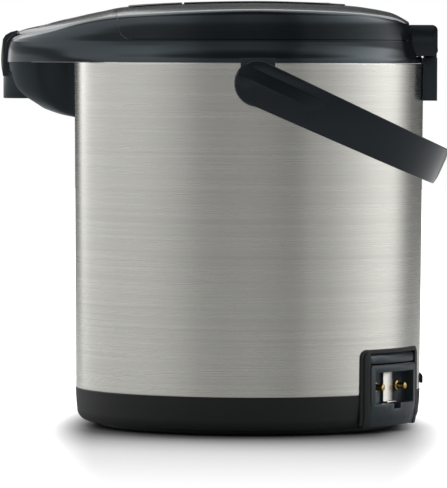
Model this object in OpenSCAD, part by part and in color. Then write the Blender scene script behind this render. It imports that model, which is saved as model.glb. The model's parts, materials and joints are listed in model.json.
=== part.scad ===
// Electric thermo pot: a heated and insulated water tank in a brushed steel body,
// with a pump, a spout head with keys, a hinged lid and a swinging carrying handle.
// Millimetres. The origin is on the floor under the body's axis. +Z is up,
// the spout points to -X and the lid's hinge is at +X.

/* [Body] */
// Outer radius of the steel body at its top edge
body_top_r = 110.5; // [110:0.25:110.75]
// Outer radius of the steel body at its bottom edge
body_bottom_r = 109; // [108.5:0.25:109.5]
// Height of the steel body's bottom edge
shell_bottom_z = 24.5; // [24:0.5:25]
// Height of the steel body's top edge
shell_top_z = 230; // [229.5:0.25:230]
// Thickness of the steel body's sheet
shell_t = 0.8; // [0.6:0.1:1]

/* [Tank] */
// Inner radius of the water tank
tank_r = 82.2; // [81.6:0.2:82.4]
// Height of the tank's floor, inside
tank_floor_z = 53; // [52.8:0.2:54]

/* [Head and lid] */
// Distance from the body's axis to the tip of the head
nose_x = 153.8; // [152:0.2:154]
// Height of the seam between lid and cover
lid_seam_z = 244.2; // [244:0.1:244.4]
// Distance of the lid's lower front edge from the body's axis
lid_front_x = 80.6; // [80.4:0.1:80.8]
// Thickness of the key panel
panel_t = 2.2; // [1.8:0.1:2.4]

/* [Handle] */
// Height of the handle's pivots
pivot_z = 217.5; // [217:0.25:218]
// Distance of the handle's pivots behind the body's axis
pivot_x = 5.5; // [5:0.25:6]
// Angle of the stowed handle below horizontal
handle_tilt = 24.5; // [24:0.25:25]
// Reach of the handle from its pivots
handle_reach = 128.4; // [128:0.2:130]

/* [Hinge] */
// Distance of the lid's hinge axis behind the body's axis
hinge_x = 114.7; // [114.5:0.1:114.8]
// Height of the lid's hinge axis
hinge_z = 238.5; // [238.4:0.1:238.7]

/* [Power inlet] */
// Direction of the power inlet around the body
inlet_angle = -32.5; // [-34:0.1:-31]

/* [Hidden] */

$fn = 96;
eps = 0.01;
gap = 0.3;         // between a moving part and a still one
seam_gap = 0.35;   // all round the lid
seat_gap = 0.1;    // between two still parts
run_gap = 0.05;    // round a pin that turns
far = 400;         // longer than the pot, for cutting tools

// ---------------------------------------------------------------- curves

function lerp(a, b, t) = a + (b - a) * t;
function clamp(v, low, high) = min(max(v, low), high);
function smoothstep(t) = let (u = clamp(t, 0, 1)) u * u * (3 - 2 * u);

// Fair curve through a few stations [x, value]: a cubic between each two.
function station_at(t, x, i = 0) = i >= len(t) - 2 || x < t[i + 1][0] ? i : station_at(t, x, i + 1);
function rise(t, i, j) = (t[j][1] - t[i][1]) / (t[j][0] - t[i][0]);
function slope_at(t, i) = rise(t, max(i - 1, 0), min(i + 1, len(t) - 1));
function fair(t, x) =
    let (
        i = station_at(t, x),
        w = t[i + 1][0] - t[i][0],
        u = clamp((x - t[i][0]) / w, 0, 1)
    )
    (1 + 2 * u) * (1 - u) * (1 - u) * t[i][1] + u * u * (3 - 2 * u) * t[i + 1][1]
    + w * u * (1 - u) * ((1 - u) * slope_at(t, i) - u * slope_at(t, i + 1));

function bezier(p, t) =
    pow(1 - t, 3) * p[0] + 3 * pow(1 - t, 2) * t * p[1] + 3 * (1 - t) * t * t * p[2] + t * t * t * p[3];
function bezier_way(p, t) =
    pow(1 - t, 2) * (p[1] - p[0]) + 2 * (1 - t) * t * (p[2] - p[1]) + t * t * (p[3] - p[2]);

// ---------------------------------------------------------------- lofts

// A half ring runs from the rear to the front on the +Y side and has y = 0 at both ends.
function both_sides(half) = concat(half, [for (i = [len(half) - 2:-1:1]) [half[i][0], -half[i][1], half[i][2]]]);

// Closed solid through half rings that are stacked from below.
module loft(half_rings) {
    half = len(half_rings[0]) - 1;
    n = 2 * half;
    top = (len(half_rings) - 1) * n;
    points = [for (ring = half_rings) each both_sides(ring)];
    sides = [
        for (k = [0:len(half_rings) - 2], i = [0:n - 1])
            let (a = k * n + i, b = k * n + (i + 1) % n)
            each [[a, a + n, b + n], [a, b + n, b]]
    ];
    strip = [
        for (i = [1:half - 2]) each [[i, i + 1, n - i - 1], [i, n - i - 1, n - i]],
        [0, 1, n - 1],
        [half - 1, half, half + 1]
    ];
    lid = [for (f = strip) [f[0] + top, f[2] + top, f[1] + top]];
    polyhedron(points, concat(sides, strip, lid), convexity = 8);
}

// ---------------------------------------------------------------- crown: the form of cover, head and lid

crown_r = body_top_r + 0.3;
blend_angle = 125;
nose_curve =
    let (start = crown_r * [cos(blend_angle), sin(blend_angle)])
    [start, start + 50 * [-sin(blend_angle), cos(blend_angle)], [-nose_x, 36], [-nose_x, 0]];
arc_steps = 15;
nose_steps = 14;

// Places along the crown's outline at the body's top edge, each with its outward normal
crown_edge = concat(
    [for (i = [0:arc_steps - 1]) let (a = blend_angle * i / arc_steps, v = [cos(a), sin(a)]) [crown_r * v, v]],
    [for (i = [0:nose_steps])
        let (t = i / nose_steps, v = bezier_way(nose_curve, t))
        [bezier(nose_curve, t), [v[1], -v[0]] / norm(v)]]
);

// How much a place counts as nose: 0 over the body, 1 at the tip
function nose_share(x) = smoothstep((-70 - x) / 70);

function crown_ring(body_inset, nose_inset) = [
    for (e = crown_edge) e[0] - lerp(body_inset, nose_inset, nose_share(e[0][0])) * e[1]
];

// Height of the crown along its middle, and along the crease round its top
middle_line = [
    [-nose_x + 6.8, 248.9], [-141, 251], [-130.8, 253.3], [-108, 258.9], [-91.5, 262.5], [-80, 264.9],
    [-61, 266.4], [-30, 267.7], [8, 268.3], [38, 267.7], [53, 267], [68.3, 265.8], [75.9, 264.7],
    [83.5, 263.4], [91.1, 261.5], [98.7, 257.6], [102, 255.4]
];
crease_line = [
    [-nose_x + 6.8, 247], [-126, 249.9], [-107, 254.6], [-91, 257.6], [-76, 259.2], [-38, 261.2],
    [0, 262.3], [30, 262], [60, 261], [80, 259.6], [92, 257.9], [102, 255.4]
];
crease_insets = [8.8, 7.2];
crease_ring = crown_ring(crease_insets[0], crease_insets[1]);
crease_widths = [for (i = [len(crease_ring) - 1:-1:0]) crease_ring[i]];
function crease_y(x) = max(lookup(x, crease_widths), 0.5);
function top_z(x, y) =
    let (mid = fair(middle_line, x), side = fair(crease_line, x), share = min(1, abs(y) / crease_y(x)))
    mid - (mid - side) * share * share;

// Side wall: [height, inset over the body, inset at the nose], then the same with a share of the
// way from the seam's height up to the crease
low_z = 243;
wall_levels = [[230, 0, 0], [232.5, 0.7, 0.1], [235.5, 2.1, 0.3], [239, 3.4, 0.8], [low_z, 4.2, 1.8]];
shoulder_levels = [[0.4, 5, 2.8], [0.75, 6, 4.4], [0.93, 7.2, 5.9], [1, crease_insets[0], crease_insets[1]]];
dome_shares = [0.1, 0.28, 0.5, 0.78];
spine = [-128, 76];

module crown() {
    walls = [for (w = wall_levels) [for (p = crown_ring(w[1], w[2])) [p[0], p[1], w[0]]]];
    shoulders = [
        for (s = shoulder_levels)
            [for (p = crown_ring(s[1], s[2])) [p[0], p[1], lerp(low_z, fair(crease_line, p[0]), s[0])]]
    ];
    dome = [
        for (f = dome_shares)
            [for (c = crease_ring)
                let (x = lerp(c[0], clamp(c[0], spine[0], spine[1]), f), y = c[1] * (1 - f))
                [x, y, top_z(x, y)]]
    ];
    loft(concat(walls, shoulders, dome));
}

// Upright prism inside the crown's outline, between two heights
module crown_prism(inset, z0, z1) {
    half = [for (p = crown_ring(inset, inset)) [p[0], p[1], 0]];
    outline = [for (p = both_sides(half)) [p[0], p[1]]];
    translate([0, 0, z0])
        linear_extrude(z1 - z0)
            polygon(outline);
}

// Plate that follows the crown's top between stations [x, half width]: it stands proud by lift
// and reaches deep below the surface
module skin(stations, lift, depth, steps = 6) {
    rows = len(stations);
    cols = steps + 1;
    under = rows * cols;
    places = [for (s = stations, j = [0:steps]) [s[0], s[1] * (2 * j / steps - 1)]];
    points = concat(
        [for (p = places) [p[0], p[1], top_z(p[0], p[1]) + lift]],
        [for (p = places) [p[0], p[1], top_z(p[0], p[1]) - depth]]
    );
    faces = [
        for (i = [0:rows - 2], j = [0:steps - 1])
            let (a = i * cols + j, b = a + cols)
            each [
                [a, a + 1, b + 1], [a, b + 1, b],
                [under + a, under + b + 1, under + a + 1], [under + a, under + b, under + b + 1]
            ],
        for (i = [0:rows - 2])
            let (a = i * cols, b = a + cols, c = a + steps, d = b + steps)
            each [[a, b, under + b], [a, under + b, under + a], [d, c, under + c], [d, under + c, under + d]],
        for (j = [0:steps - 1], a = [j])
            let (b = a + 1, c = (rows - 1) * cols + j, d = c + 1)
            each [[b, a, under + a], [b, under + a, under + b], [c, d, under + d], [c, under + d, under + c]]
    ];
    polyhedron(points, faces, convexity = 6);
}

// A plan outline in the XZ plane becomes a slab across the pot
module across(width) {
    rotate([90, 0, 0])
        linear_extrude(width, center = true)
            children();
}

// Space above the seam that belongs to the lid, shrunk by a clearance. Its front leans forward.
lid_corner_r = 7;
lid_lean = 12.5;

module lid_space(clearance) {
    centre = [lid_corner_r - lid_front_x, lid_seam_z + lid_corner_r];
    r = lid_corner_r - clearance;
    across(far)
        polygon(concat(
            [for (i = [0:10]) let (a = 270 - (90 - lid_lean) * i / 10) centre + r * [cos(a), sin(a)]],
            [
                centre - r * [cos(lid_lean), sin(lid_lean)] + 60 * [-sin(lid_lean), cos(lid_lean)],
                [far, 320],
                [far, centre[1] - r]
            ]
        ));
}

// Lip of the cover that stands behind the seam's front, so that no light passes through it
module seam_lip(clearance) {
    half_w = 48 + clearance;
    difference() {
        translate([-far, -half_w, 200])
            cube([far - 60 + clearance, 2 * half_w, 60 + clearance]);
        lid_space(1 + clearance);
    }
}

module lid_zone(clearance) {
    difference() {
        lid_space(clearance);
        seam_lip(clearance);
    }
}

// ---------------------------------------------------------------- steel body

module shell_solid(extra, z0 = shell_bottom_z, z1 = shell_top_z) {
    taper = (body_top_r - body_bottom_r) / (shell_top_z - shell_bottom_z);
    translate([0, 0, z0])
        cylinder(
            h = z1 - z0,
            r1 = body_bottom_r + taper * (z0 - shell_bottom_z) + extra,
            r2 = body_bottom_r + taper * (z1 - shell_bottom_z) + extra
        );
}

// Anything in the power inlet's own frame: +X out of the body, Y along it
module at_inlet() {
    rotate([0, 0, inlet_angle])
        children();
}

inlet_window_w = 60.4;
inlet_window_top = 50.2;
gauge_z = [58, 186];
gauge_w = 12;

module outer_shell() {
    color("silver")
    difference() {
        shell_solid(0, shell_bottom_z, shell_top_z - seat_gap);
        shell_solid(-shell_t, shell_bottom_z - 1, shell_top_z + 1);
        at_inlet()
            translate([90, -inlet_window_w / 2, shell_bottom_z - 1])
                cube([30, inlet_window_w, inlet_window_top - shell_bottom_z + 1]);
        translate([-body_top_r - 5, -gauge_w / 2, gauge_z[0]])
            cube([15, gauge_w, gauge_z[1] - gauge_z[0]]);
    }
}

skirt_bottom_z = 3.5;
skirt_corner = 7.3;
lip_r = 96;

module base_skirt() {
    top = shell_bottom_z - seat_gap;
    corner_r = body_bottom_r - 8.1;
    color("#26292b")
    difference() {
        rotate_extrude()
            difference() {
                union() {
                    polygon([
                        [lip_r, skirt_bottom_z], [corner_r, skirt_bottom_z], [corner_r, 10],
                        [body_bottom_r - 0.8, 10.8], [body_bottom_r, 19], [body_bottom_r + 0.2, top], [lip_r, top]
                    ]);
                    translate([corner_r, skirt_bottom_z + skirt_corner])
                        circle(skirt_corner);
                }
                square([lip_r, 40]);
                translate([lip_r - 1, skirt_bottom_z + 3.6])
                    square([body_bottom_r - 3.4 - lip_r + 1, 40]);
            }
        at_inlet()
            translate([90, -inlet_window_w / 2, 0])
                cube([30, inlet_window_w, 40]);
    }
}

screw_ring_r = 89;
screw_angles = [20, 110, 200, 290];
plate_z = 4;
plate_t = 2.6;
spindle_r = 9;

module bottom_plate() {
    color("#2b2e30")
    difference() {
        union() {
            translate([0, 0, plate_z])
                cylinder(h = plate_t, r = lip_r - 0.2);
            translate([0, 0, plate_z])
                cylinder(h = 4, r = 20);
            for (a = screw_angles)
                rotate(a)
                    translate([screw_ring_r, 0, plate_z])
                        cylinder(h = 8, r = 4.5);
        }
        translate([0, 0, plate_z - 1])
            cylinder(h = 10, r = spindle_r + run_gap);
        for (a = screw_angles)
            rotate(a)
                translate([screw_ring_r, 0, plate_z - 1]) {
                    cylinder(h = 12, r = 1.9);
                    cylinder(h = 2, r = 3.4);
                }
        for (a = [0:30:330])
            rotate(a)
                translate([46, -1.5, plate_z - 1])
                    cube([18, 3, 6]);
    }
}

module bottom_screws() {
    color("gray")
    for (a = screw_angles)
        rotate(a)
            translate([screw_ring_r, 0, plate_z - 0.4])
                difference() {
                    union() {
                        cylinder(h = 1.3, r = 3.2);
                        cylinder(h = 8, r = 1.8);
                    }
                    for (turn = [0, 90])
                        rotate(turn)
                            translate([-1.6, -0.4, -0.5])
                                cube([3.2, 0.8, 1.1]);
                }
}

// ---------------------------------------------------------------- turntable

turntable_r = 93;
turntable_z = 0.6;
pad_r = 6.5;
pad_places = concat([[0, 0]], [for (a = [0:60:300]) 76 * [cos(a), sin(a)]]);

module turntable() {
    color("#1d1f20")
    difference() {
        union() {
            difference() {
                translate([0, 0, turntable_z])
                    cylinder(h = 2.6, r = turntable_r);
                for (a = [15:30:345])
                    rotate(a)
                        translate([50, 0, 0])
                            cylinder(h = 8, r = 9);
            }
            translate([0, 0, turntable_z])
                cylinder(h = 9.6, r = spindle_r);
        }
        for (p = pad_places)
            translate([p[0], p[1], 0])
                cylinder(h = 1.8, r = pad_r + seat_gap);
    }
}

module swivel_clip() {
    color("dimgray")
    translate([0, 0, plate_z + 4.4])
        difference() {
            cylinder(h = 1.2, r = 12.5);
            translate([0, 0, -1])
                cylinder(h = 4, r = spindle_r + 0.02);
        }
}

module foot_pads() {
    color("#111213")
    for (p = pad_places)
        translate([p[0], p[1], 0])
            cylinder(h = 1.75, r = pad_r);
}

// ---------------------------------------------------------------- cover and spout

deck_z = 239;
deck_under_z = 236;
mouth_r = 85.5;
head_wall_x = 87.2;
outlet_x = 142.6;
riser_x = 96.5;
panel_stations = [
    for (x = [-146.2, -144.6, -142, -137, -130, -121, -112, -103, -95, -84.9])
        [x, crease_y(x) - (x < -146 ? 3.2 : 1)]
];
hinge_half_w = 28;
rib_half_w = 10;
rib_end_x = 109;

// Prism between two x planes, used to limit a tool to the head
module head_only(x0, x1) {
    intersection() {
        children();
        translate([x0, -far / 2, 0])
            cube([x1 - x0, far, 400]);
    }
}

// Foot of the nose trim, which sits in a seat in both covers
module nose_core(clearance) {
    across(20 + 2 * clearance)
        polygon([
            [-147.2, 248.2 + clearance], [-149.6, 247.1 + clearance], [-155, 243.4], [-155.6, 239],
            [-155.6, 231.5], [-154, 222], [-147 + clearance, 221], [-147 + clearance, 243], [-143, 246.4]
        ]);
}

module upper_cover() {
    color("#1c1f21")
    difference() {
        crown();
        nose_core(seat_gap);
        lid_zone(0);
        // pocket over the deck for the lid's underside
        intersection() {
            translate([0, 0, deck_z])
                cylinder(h = 30, r = 102.4);
            translate([-80, -far / 2, 0])
                cube([far, far, lid_seam_z + 1.2]);
        }
        // open underside, with the deck left on top
        translate([0, 0, 229])
            cylinder(h = deck_under_z - 229, r = 107.4);
        translate([0, 0, 229])
            cylinder(h = 20, r = mouth_r);
        // room for the boards in the head
        head_only(-160, -head_wall_x)
            crown_prism(5.5, 232, 244);
        head_only(-142, -head_wall_x - 4)
            crown_prism(14, 243, 280);
        // seat of the key panel
        skin([for (s = panel_stations) [s[0] - (s[0] < -100 ? 0.15 : -0.15), s[1] + 0.15]], 5, panel_t + 0.1);
        // the water pipe's way up and down
        for (x = [riser_x, outlet_x])
            translate([-x, 0, 225])
                cylinder(h = 12, r = 6);
        // room for the hinge, with a rib left that closes the slit under it
        difference() {
            translate([99.4, -hinge_half_w - 0.5, 234.1])
                cube([30, 2 * hinge_half_w + 1, 20]);
            translate([99, -rib_half_w, 233])
                cube([rib_end_x - 99, 2 * rib_half_w, 2.5]);
        }
        // recess that the latch's nose enters
        translate([-84, -9, 248])
            cube([5, 18, 6.4]);
    }
}

neck_half_w = 11;
spout_front = [
    [195.2, -110.6], [196.6, -118], [199.1, -125.9], [203.5, -136.4], [207.5, -144], [213, -149.3],
    [221, -152], [230, -153.2]
];
spout_width = [[195.2, 8], [197, 10.5], [200, 14], [205, 19], [212, 24], [221, 28], [230, 31]];
spout_rear = -104;

function spout_half_ring(z) =
    let (front = fair(spout_front, z), wide = fair(spout_width, z), neck = min(neck_half_w, wide))
    concat(
        [[spout_rear, 0, z], [spout_rear, neck, z]],
        [for (i = [1:9])
            let (s = i / 10, x = lerp(-109.5, front, pow(s, 0.8)))
            [x, lerp(neck, wide, smoothstep(s * 1.7)) * pow(1 - pow(s, 3.2), 0.55), z]],
        [[front, 0, z]]
    );

module spout_cover() {
    color("#1c1f21")
    difference() {
        loft([for (z = [195.2, 196.2, 198, 201, 205, 210, 216, 223, 229.95]) spout_half_ring(z)]);
        nose_core(seat_gap);
        shell_solid(0.2, 190, 231);
        translate([-outlet_x, 0, 190])
            cylinder(h = 50, r = 6);
        translate([-outlet_x, 0, 190])
            cylinder(h = 34.2, r = 13.1);
        translate([-170, -12.6, 190])
            cube([27.4, 25.2, 34.2]);
    }
}

nozzle_bottom_z = 207;

module nose_band() {
    color("#1c1f21")
    difference() {
        union() {
            intersection() {
                across(25)
                    polygon([
                        [-146.6, 249.9], [-150.6, 248.8], [-153.8, 246.9], [-155.5, 244.2], [-156.6, 236.8],
                        [-157.1, 231.7], [-156.5, 226.5], [-155.3, 221], [-150, 221], [-153, 223.8],
                        [-154, 231.5], [-153.7, 239], [-152.6, 243.4], [-149.6, 246.9], [-147.2, 248]
                    ]);
                translate([-112.9, 0, 200])
                    cylinder(h = 60, r = 44.2);
            }
            difference() {
                nose_core(0);
                translate([0, 0, 190])
                    cylinder(h = 60, r = 146.6);
            }
            translate([-outlet_x, 0, nozzle_bottom_z])
                cylinder(h = 17, r = 13);
        }
        translate([-outlet_x, 0, 200])
            cylinder(h = 50, r = 5.7);
        translate([-outlet_x, 0, 200])
            cylinder(h = 11, r = 10);
    }
}

module control_panel() {
    color("#2f3335")
    difference() {
        skin(panel_stations, 0.05, panel_t);
        skin([for (s = display_stations) [s[0] + (s[0] < -100 ? -0.15 : 0.15), s[1] + 0.15]], 3, 4);
        for (k = key_table)
            key_place(k)
                translate([0, 0, -6])
                    cylinder(h = 12, r = k[2] + 0.25);
    }
}

display_stations = [for (x = [-104, -101, -97, -93.5]) [x, 22]];

module display_window() {
    color("#50606a")
    skin(display_stations, 0.1, 1.4);
}

// Keys: [x, y, radius] on the panel
key_table = [[-119.5, 0, 8], [-129, 12.5, 4.2], [-129, -12.5, 4.2], [-111.5, 14.5, 4.2], [-111.5, -14.5, 4.2]];
panel_slope = 13.6;
key_proud = 0.15;

// A key stands square on the panel at its place
module key_place(key) {
    slope_x = atan((top_z(key[0] + 2, key[1]) - top_z(key[0] - 2, key[1])) / 4);
    slope_y = atan((top_z(key[0], key[1] + 2) - top_z(key[0], key[1] - 2)) / 4);
    translate([key[0], key[1], top_z(key[0], key[1])])
        rotate([slope_y, -slope_x, 0])
            children();
}

module key(index) {
    k = key_table[index];
    color("#3b3f42")
    key_place(k) {
        translate([0, 0, -3.4])
            cylinder(h = 3.4 + key_proud, r = k[2]);
        translate([0, 0, -4.4])
            cylinder(h = 1.1, r = k[2] + 1);
        translate([0, 0, -7])
            cylinder(h = 3, r = 1.6);
    }
}

module key_dispense() { key(0); }
module key_unlock() { key(1); }
module key_reboil() { key(2); }
module key_timer() { key(3); }
module key_select() { key(4); }

module control_board() {
    color("darkgreen")
    difference() {
        union() {
            translate([-118, 0, 247.4])
                rotate([0, -panel_slope, 0]) {
                    translate([-12, -24, -1.6])
                        cube([32, 48, 1.6]);
                    translate([8, -12, -4.6])
                        cube([8, 24, 3.2]);
                }
            for (k = key_table)
                key_place(k)
                    translate([-2.2, -2.2, -9.8])
                        cube([4.4, 4.4, 1.9]);
            translate([-103.4, -19, 250.6])
                cube([6, 38, 5.6]);
        }
        translate([-91.8, -40, 230])
            cube([20, 80, 40]);
    }
}

// Wall of a pipe: [outer radius, inner radius]
module pipe_ring(radii) {
    difference() {
        circle(radii[0]);
        circle(radii[1]);
    }
}

// Straight pipe from a point in the XZ plane, in a direction given by its turn about Y
module pipe_run(from, turn, length, radii) {
    translate([from[0], 0, from[1]])
        rotate([0, turn, 0])
            linear_extrude(length)
                pipe_ring(radii);
}

// Quarter bend in the XZ plane about a centre, starting at an angle measured from +X towards +Z
module pipe_bend(centre, start, bend_r, radii) {
    translate([centre[0], 0, centre[1]])
        rotate([90, 0, 0])
            rotate([0, 0, start])
                rotate_extrude(angle = 90)
                    translate([bend_r, 0])
                        pipe_ring(radii);
}

outlet_pipe_r = [4.8, 3.4];
outlet_bend_r = 6;
outlet_high_z = 237.4;

module outlet_pipe() {
    bend_z = outlet_high_z - outlet_bend_r;
    color("ivory")
    union() {
        pipe_run([-riser_x, 228.3], 0, bend_z - 228.3, outlet_pipe_r);
        pipe_bend([-riser_x - outlet_bend_r, bend_z], 0, outlet_bend_r, outlet_pipe_r);
        pipe_run(
            [-riser_x - outlet_bend_r, outlet_high_z], -90, outlet_x - riser_x - 2 * outlet_bend_r, outlet_pipe_r
        );
        pipe_bend([-outlet_x + outlet_bend_r, bend_z], 90, outlet_bend_r, outlet_pipe_r);
        pipe_run([-outlet_x, bend_z], 180, bend_z - nozzle_bottom_z - 1.5, outlet_pipe_r);
    }
}

// ---------------------------------------------------------------- water gauge

gauge_tube_r = 5;
gauge_bottom_z = 49;

module gauge_tube() {
    color("lightcyan")
    translate([-riser_x, 0, gauge_bottom_z])
        difference() {
            cylinder(h = 228 - gauge_bottom_z, r = gauge_tube_r);
            translate([0, 0, -1])
                cylinder(h = 300, r = gauge_tube_r - 1.1);
        }
}

module gauge_window() {
    color("lightblue")
    intersection() {
        difference() {
            shell_solid(-0.1);
            shell_solid(-3);
        }
        translate([-body_top_r - 5, -gauge_w / 2 + seat_gap, gauge_z[0] + seat_gap])
            cube([15, gauge_w - 2 * seat_gap, gauge_z[1] - gauge_z[0] - 2 * seat_gap]);
    }
}

module gauge_float() {
    color("crimson")
    translate([-riser_x, 0, gauge_z[0] + 4])
        sphere(3.4, $fn = 48);
}

// ---------------------------------------------------------------- tank, heater and pump

tank_wall = 0.8;
tank_corner = 8;
rim_r = 90;
rim_z = [234.8, 235.8];
floor_r = tank_r + tank_wall - tank_corner;
drain_x = 60;

module inner_tank() {
    corner_z = tank_floor_z - tank_wall + tank_corner;
    color("#9aa0a3")
    rotate_extrude()
        difference() {
            union() {
                translate([floor_r, corner_z])
                    circle(tank_corner);
                translate([floor_r, corner_z])
                    square([tank_corner, rim_z[1] - corner_z]);
                translate([floor_r, rim_z[0]])
                    square([rim_r - floor_r, rim_z[1] - rim_z[0]]);
            }
            square([floor_r, far]);
            translate([0, corner_z])
                square([tank_r, far]);
            translate([floor_r, corner_z])
                circle(tank_corner - tank_wall);
        }
}

module tank_floor() {
    color("#9aa0a3")
    translate([0, 0, tank_floor_z - tank_wall])
        difference() {
            cylinder(h = tank_wall, r = floor_r - run_gap);
            translate([-drain_x, 0, -1])
                cylinder(h = 3, r = 4);
        }
}

module insulation_jacket() {
    color("#d8d5cc")
    translate([0, 0, 72])
        difference() {
            cylinder(h = 156, r = 89.6);
            translate([0, 0, -1])
                cylinder(h = 160, r = tank_r + tank_wall + 0.6);
        }
}

module heater_plate() {
    color("#b7a88a")
    translate([0, 0, tank_floor_z - tank_wall - 4.6])
        difference() {
            cylinder(h = 4.5, r = 50);
            translate([0, 0, -1])
                cylinder(h = 2.5, r = 34);
        }
}

module thermostat() {
    color("whitesmoke")
    translate([0, 0, tank_floor_z - tank_wall - 13])
        union() {
            cylinder(h = 8, r = 9);
            translate([0, 0, 7])
                cylinder(h = 2.8, r = 12);
            for (y = [-5, 5])
                translate([-1, y - 0.4, -6])
                    cube([5, 0.8, 7]);
        }
}

module tank_drain_hose() {
    color("gainsboro")
    translate([-drain_x, 0, 41.1])
        difference() {
            union() {
                cylinder(h = tank_floor_z - tank_wall - 41.2, r = 6);
                translate([0, 0, 2.5])
                    cylinder(h = 2, r = 7);
            }
            translate([0, 0, -1])
                cylinder(h = 30, r = 4);
        }
}

pump_r = 18;
chamber = [15.5, 29, 38];

module pump_housing() {
    color("whitesmoke")
    translate([-drain_x, 0, 0])
        difference() {
            union() {
                translate([0, 0, 26.5])
                    cylinder(h = 14.5, r = pump_r);
                translate([-21, -6.5, 28])
                    cube([21, 13, 11]);
            }
            translate([0, 0, chamber[1]])
                cylinder(h = chamber[2] - chamber[1], r = chamber[0]);
            translate([0, 0, 20])
                cylinder(h = 12, r = 1.5 + run_gap);
            translate([0, 0, 34])
                cylinder(h = 10, r = 4);
            translate([-13, 0, 33.5])
                rotate([0, -90, 0])
                    cylinder(h = 20, r = 3.6);
        }
}

module impeller() {
    z0 = chamber[1] + 0.8;
    color("white")
    translate([-drain_x, 0, 0])
        union() {
            translate([0, 0, z0])
                cylinder(h = 1.6, r = 14);
            translate([0, 0, z0])
                cylinder(h = 6.6, r = 3);
            for (a = [0:60:300])
                rotate(a)
                    translate([2, 1, z0])
                        rotate(-18)
                            cube([11, 1, 5.2]);
            translate([0, 0, 20])
                cylinder(h = 10, r = 1.5);
        }
}

module pump_motor() {
    color("silver")
    translate([-drain_x, 0, 0])
        difference() {
            union() {
                translate([0, 0, 9.5])
                    cylinder(h = 14.5, r = 13.5);
                translate([0, 0, 23.9])
                    cylinder(h = 2.5, r = 5);
            }
            translate([0, 0, 19])
                cylinder(h = 10, r = 1.5 + run_gap);
        }
}

hose_r = [5.2, 3.6];
hose_z = 33.5;

module pump_outlet_hose() {
    bend_r = 7;
    color("gainsboro")
    union() {
        pipe_run([-drain_x - 21.1, hose_z], -90, riser_x - bend_r - drain_x - 21.1, hose_r);
        pipe_bend([-riser_x + bend_r, hose_z + bend_r], 180, bend_r, hose_r);
        pipe_run([-riser_x, hose_z + bend_r], 0, gauge_bottom_z - 0.1 - hose_z - bend_r, hose_r);
    }
}

module power_board() {
    color("seagreen")
    translate([-26, -34, 13])
        union() {
            cube([96, 68, 1.6]);
            for (p = [[6, 6], [90, 6], [6, 62], [90, 62]])
                translate([p[0], p[1], -4.5])
                    cylinder(h = 5, r = 2.5, $fn = 24);
            translate([54, 10, 1])
                cube([30, 26, 20]);
            translate([16, 42, 1])
                cube([24, 18, 16]);
            translate([60, 44, 1])
                cube([10, 14, 18]);
            for (x = [14, 30])
                translate([x, 18, 1])
                    cylinder(h = 15, r = 6);
        }
}

// ---------------------------------------------------------------- power inlet

socket_half_w = 26.6;
recess_z = [18.4, 38.2];
recess_half_w = 22.7;
recess_floor_x = 102;
keeper_half_w = 5.6;
pin_z = 28.6;
pin_y = 13.2;
pin_tip_x = 108.6;
cap_z = [43.6, 50];

// Upright bar through the housing whose outline across the body is a rectangle with round top corners
module inlet_bar(half_w, z0, z1, corner) {
    translate([80, 0, 0])
        rotate([90, 0, 90])
            linear_extrude(40) {
                translate([-half_w, z0])
                    square([2 * half_w, z1 - z0 - corner]);
                translate([corner - half_w, z0])
                    square([2 * (half_w - corner), z1 - z0]);
                for (side = [-1, 1])
                    translate([side * (half_w - corner), z1 - corner])
                        circle(corner);
            }
}

// Part of a turned wall between an inner and an outer profile of [radius, height]
module turned(profile, inner_r) {
    rotate_extrude()
        polygon(concat([[inner_r, profile[0][1]]], profile, [[inner_r, profile[len(profile) - 1][1]]]));
}

module inlet_frame() {
    foot_z = skirt_bottom_z + 0.6;
    color("#232628")
    at_inlet()
    difference() {
        union() {
            intersection() {
                turned([[108.8, foot_z], [109.8, 10], [109.8, 52.6]], 90);
                inlet_bar(34, foot_z, 52.6, 5);
            }
            intersection() {
                turned([[109.2, foot_z], [110.6, 10], [110.7, 51.4]], 90);
                inlet_bar(31.6, foot_z, 51.4, 4.4);
            }
        }
        // the body's wall and the space inside it, outside the window
        difference() {
            shell_solid(0.15, 0, 60);
            translate([98, seat_gap - inlet_window_w / 2, 0])
                cube([20, inlet_window_w - 2 * seat_gap, inlet_window_top - seat_gap]);
        }
        translate([99.5, -socket_half_w - seat_gap, 0])
            cube([20, 2 * (socket_half_w + seat_gap), inlet_window_top]);
        translate([90, 3 - socket_half_w, 8])
            cube([20, 2 * (socket_half_w - 3), 36]);
    }
}

module inlet_bezel() {
    foot_z = skirt_bottom_z + 1.1;
    color("#26292b")
    at_inlet()
    difference() {
        intersection() {
            turned([[108.8, foot_z], [110.2, 9], [111, 20], [111, 41.9], [110, 42.9]], 90);
            inlet_bar(socket_half_w, foot_z, 42.9, 2.6);
            translate([99.6, -40, 0])
                cube([20, 80, 60]);
        }
        // recess for the plug with a pad for the keeper plate, and a keyway under it
        difference() {
            translate([recess_floor_x, -recess_half_w, recess_z[0]])
                cube([20, 2 * recess_half_w, recess_z[1] - recess_z[0]]);
            translate([recess_floor_x - 1, -keeper_half_w, 0])
                cube([1.8, 2 * keeper_half_w, 60]);
        }
        translate([recess_floor_x + 2, -3.6, recess_z[0] - 3.3])
            cube([20, 7.6, 5]);
        for (y = [-pin_y, pin_y])
            translate([90, y, pin_z])
                rotate([0, 90, 0])
                    cylinder(h = 20, r = 2 + seat_gap);
    }
}

module inlet_cap() {
    color("#2a2d2f")
    at_inlet()
    intersection() {
        turned([[110, cap_z[0]], [110, 46.6], [109.4, 48.6], [108, cap_z[1]]], 90);
        inlet_bar(socket_half_w - 0.3, cap_z[0], cap_z[1], 1.6);
        translate([99.6, -40, 0])
            cube([20, 80, 60]);
    }
}

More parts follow.
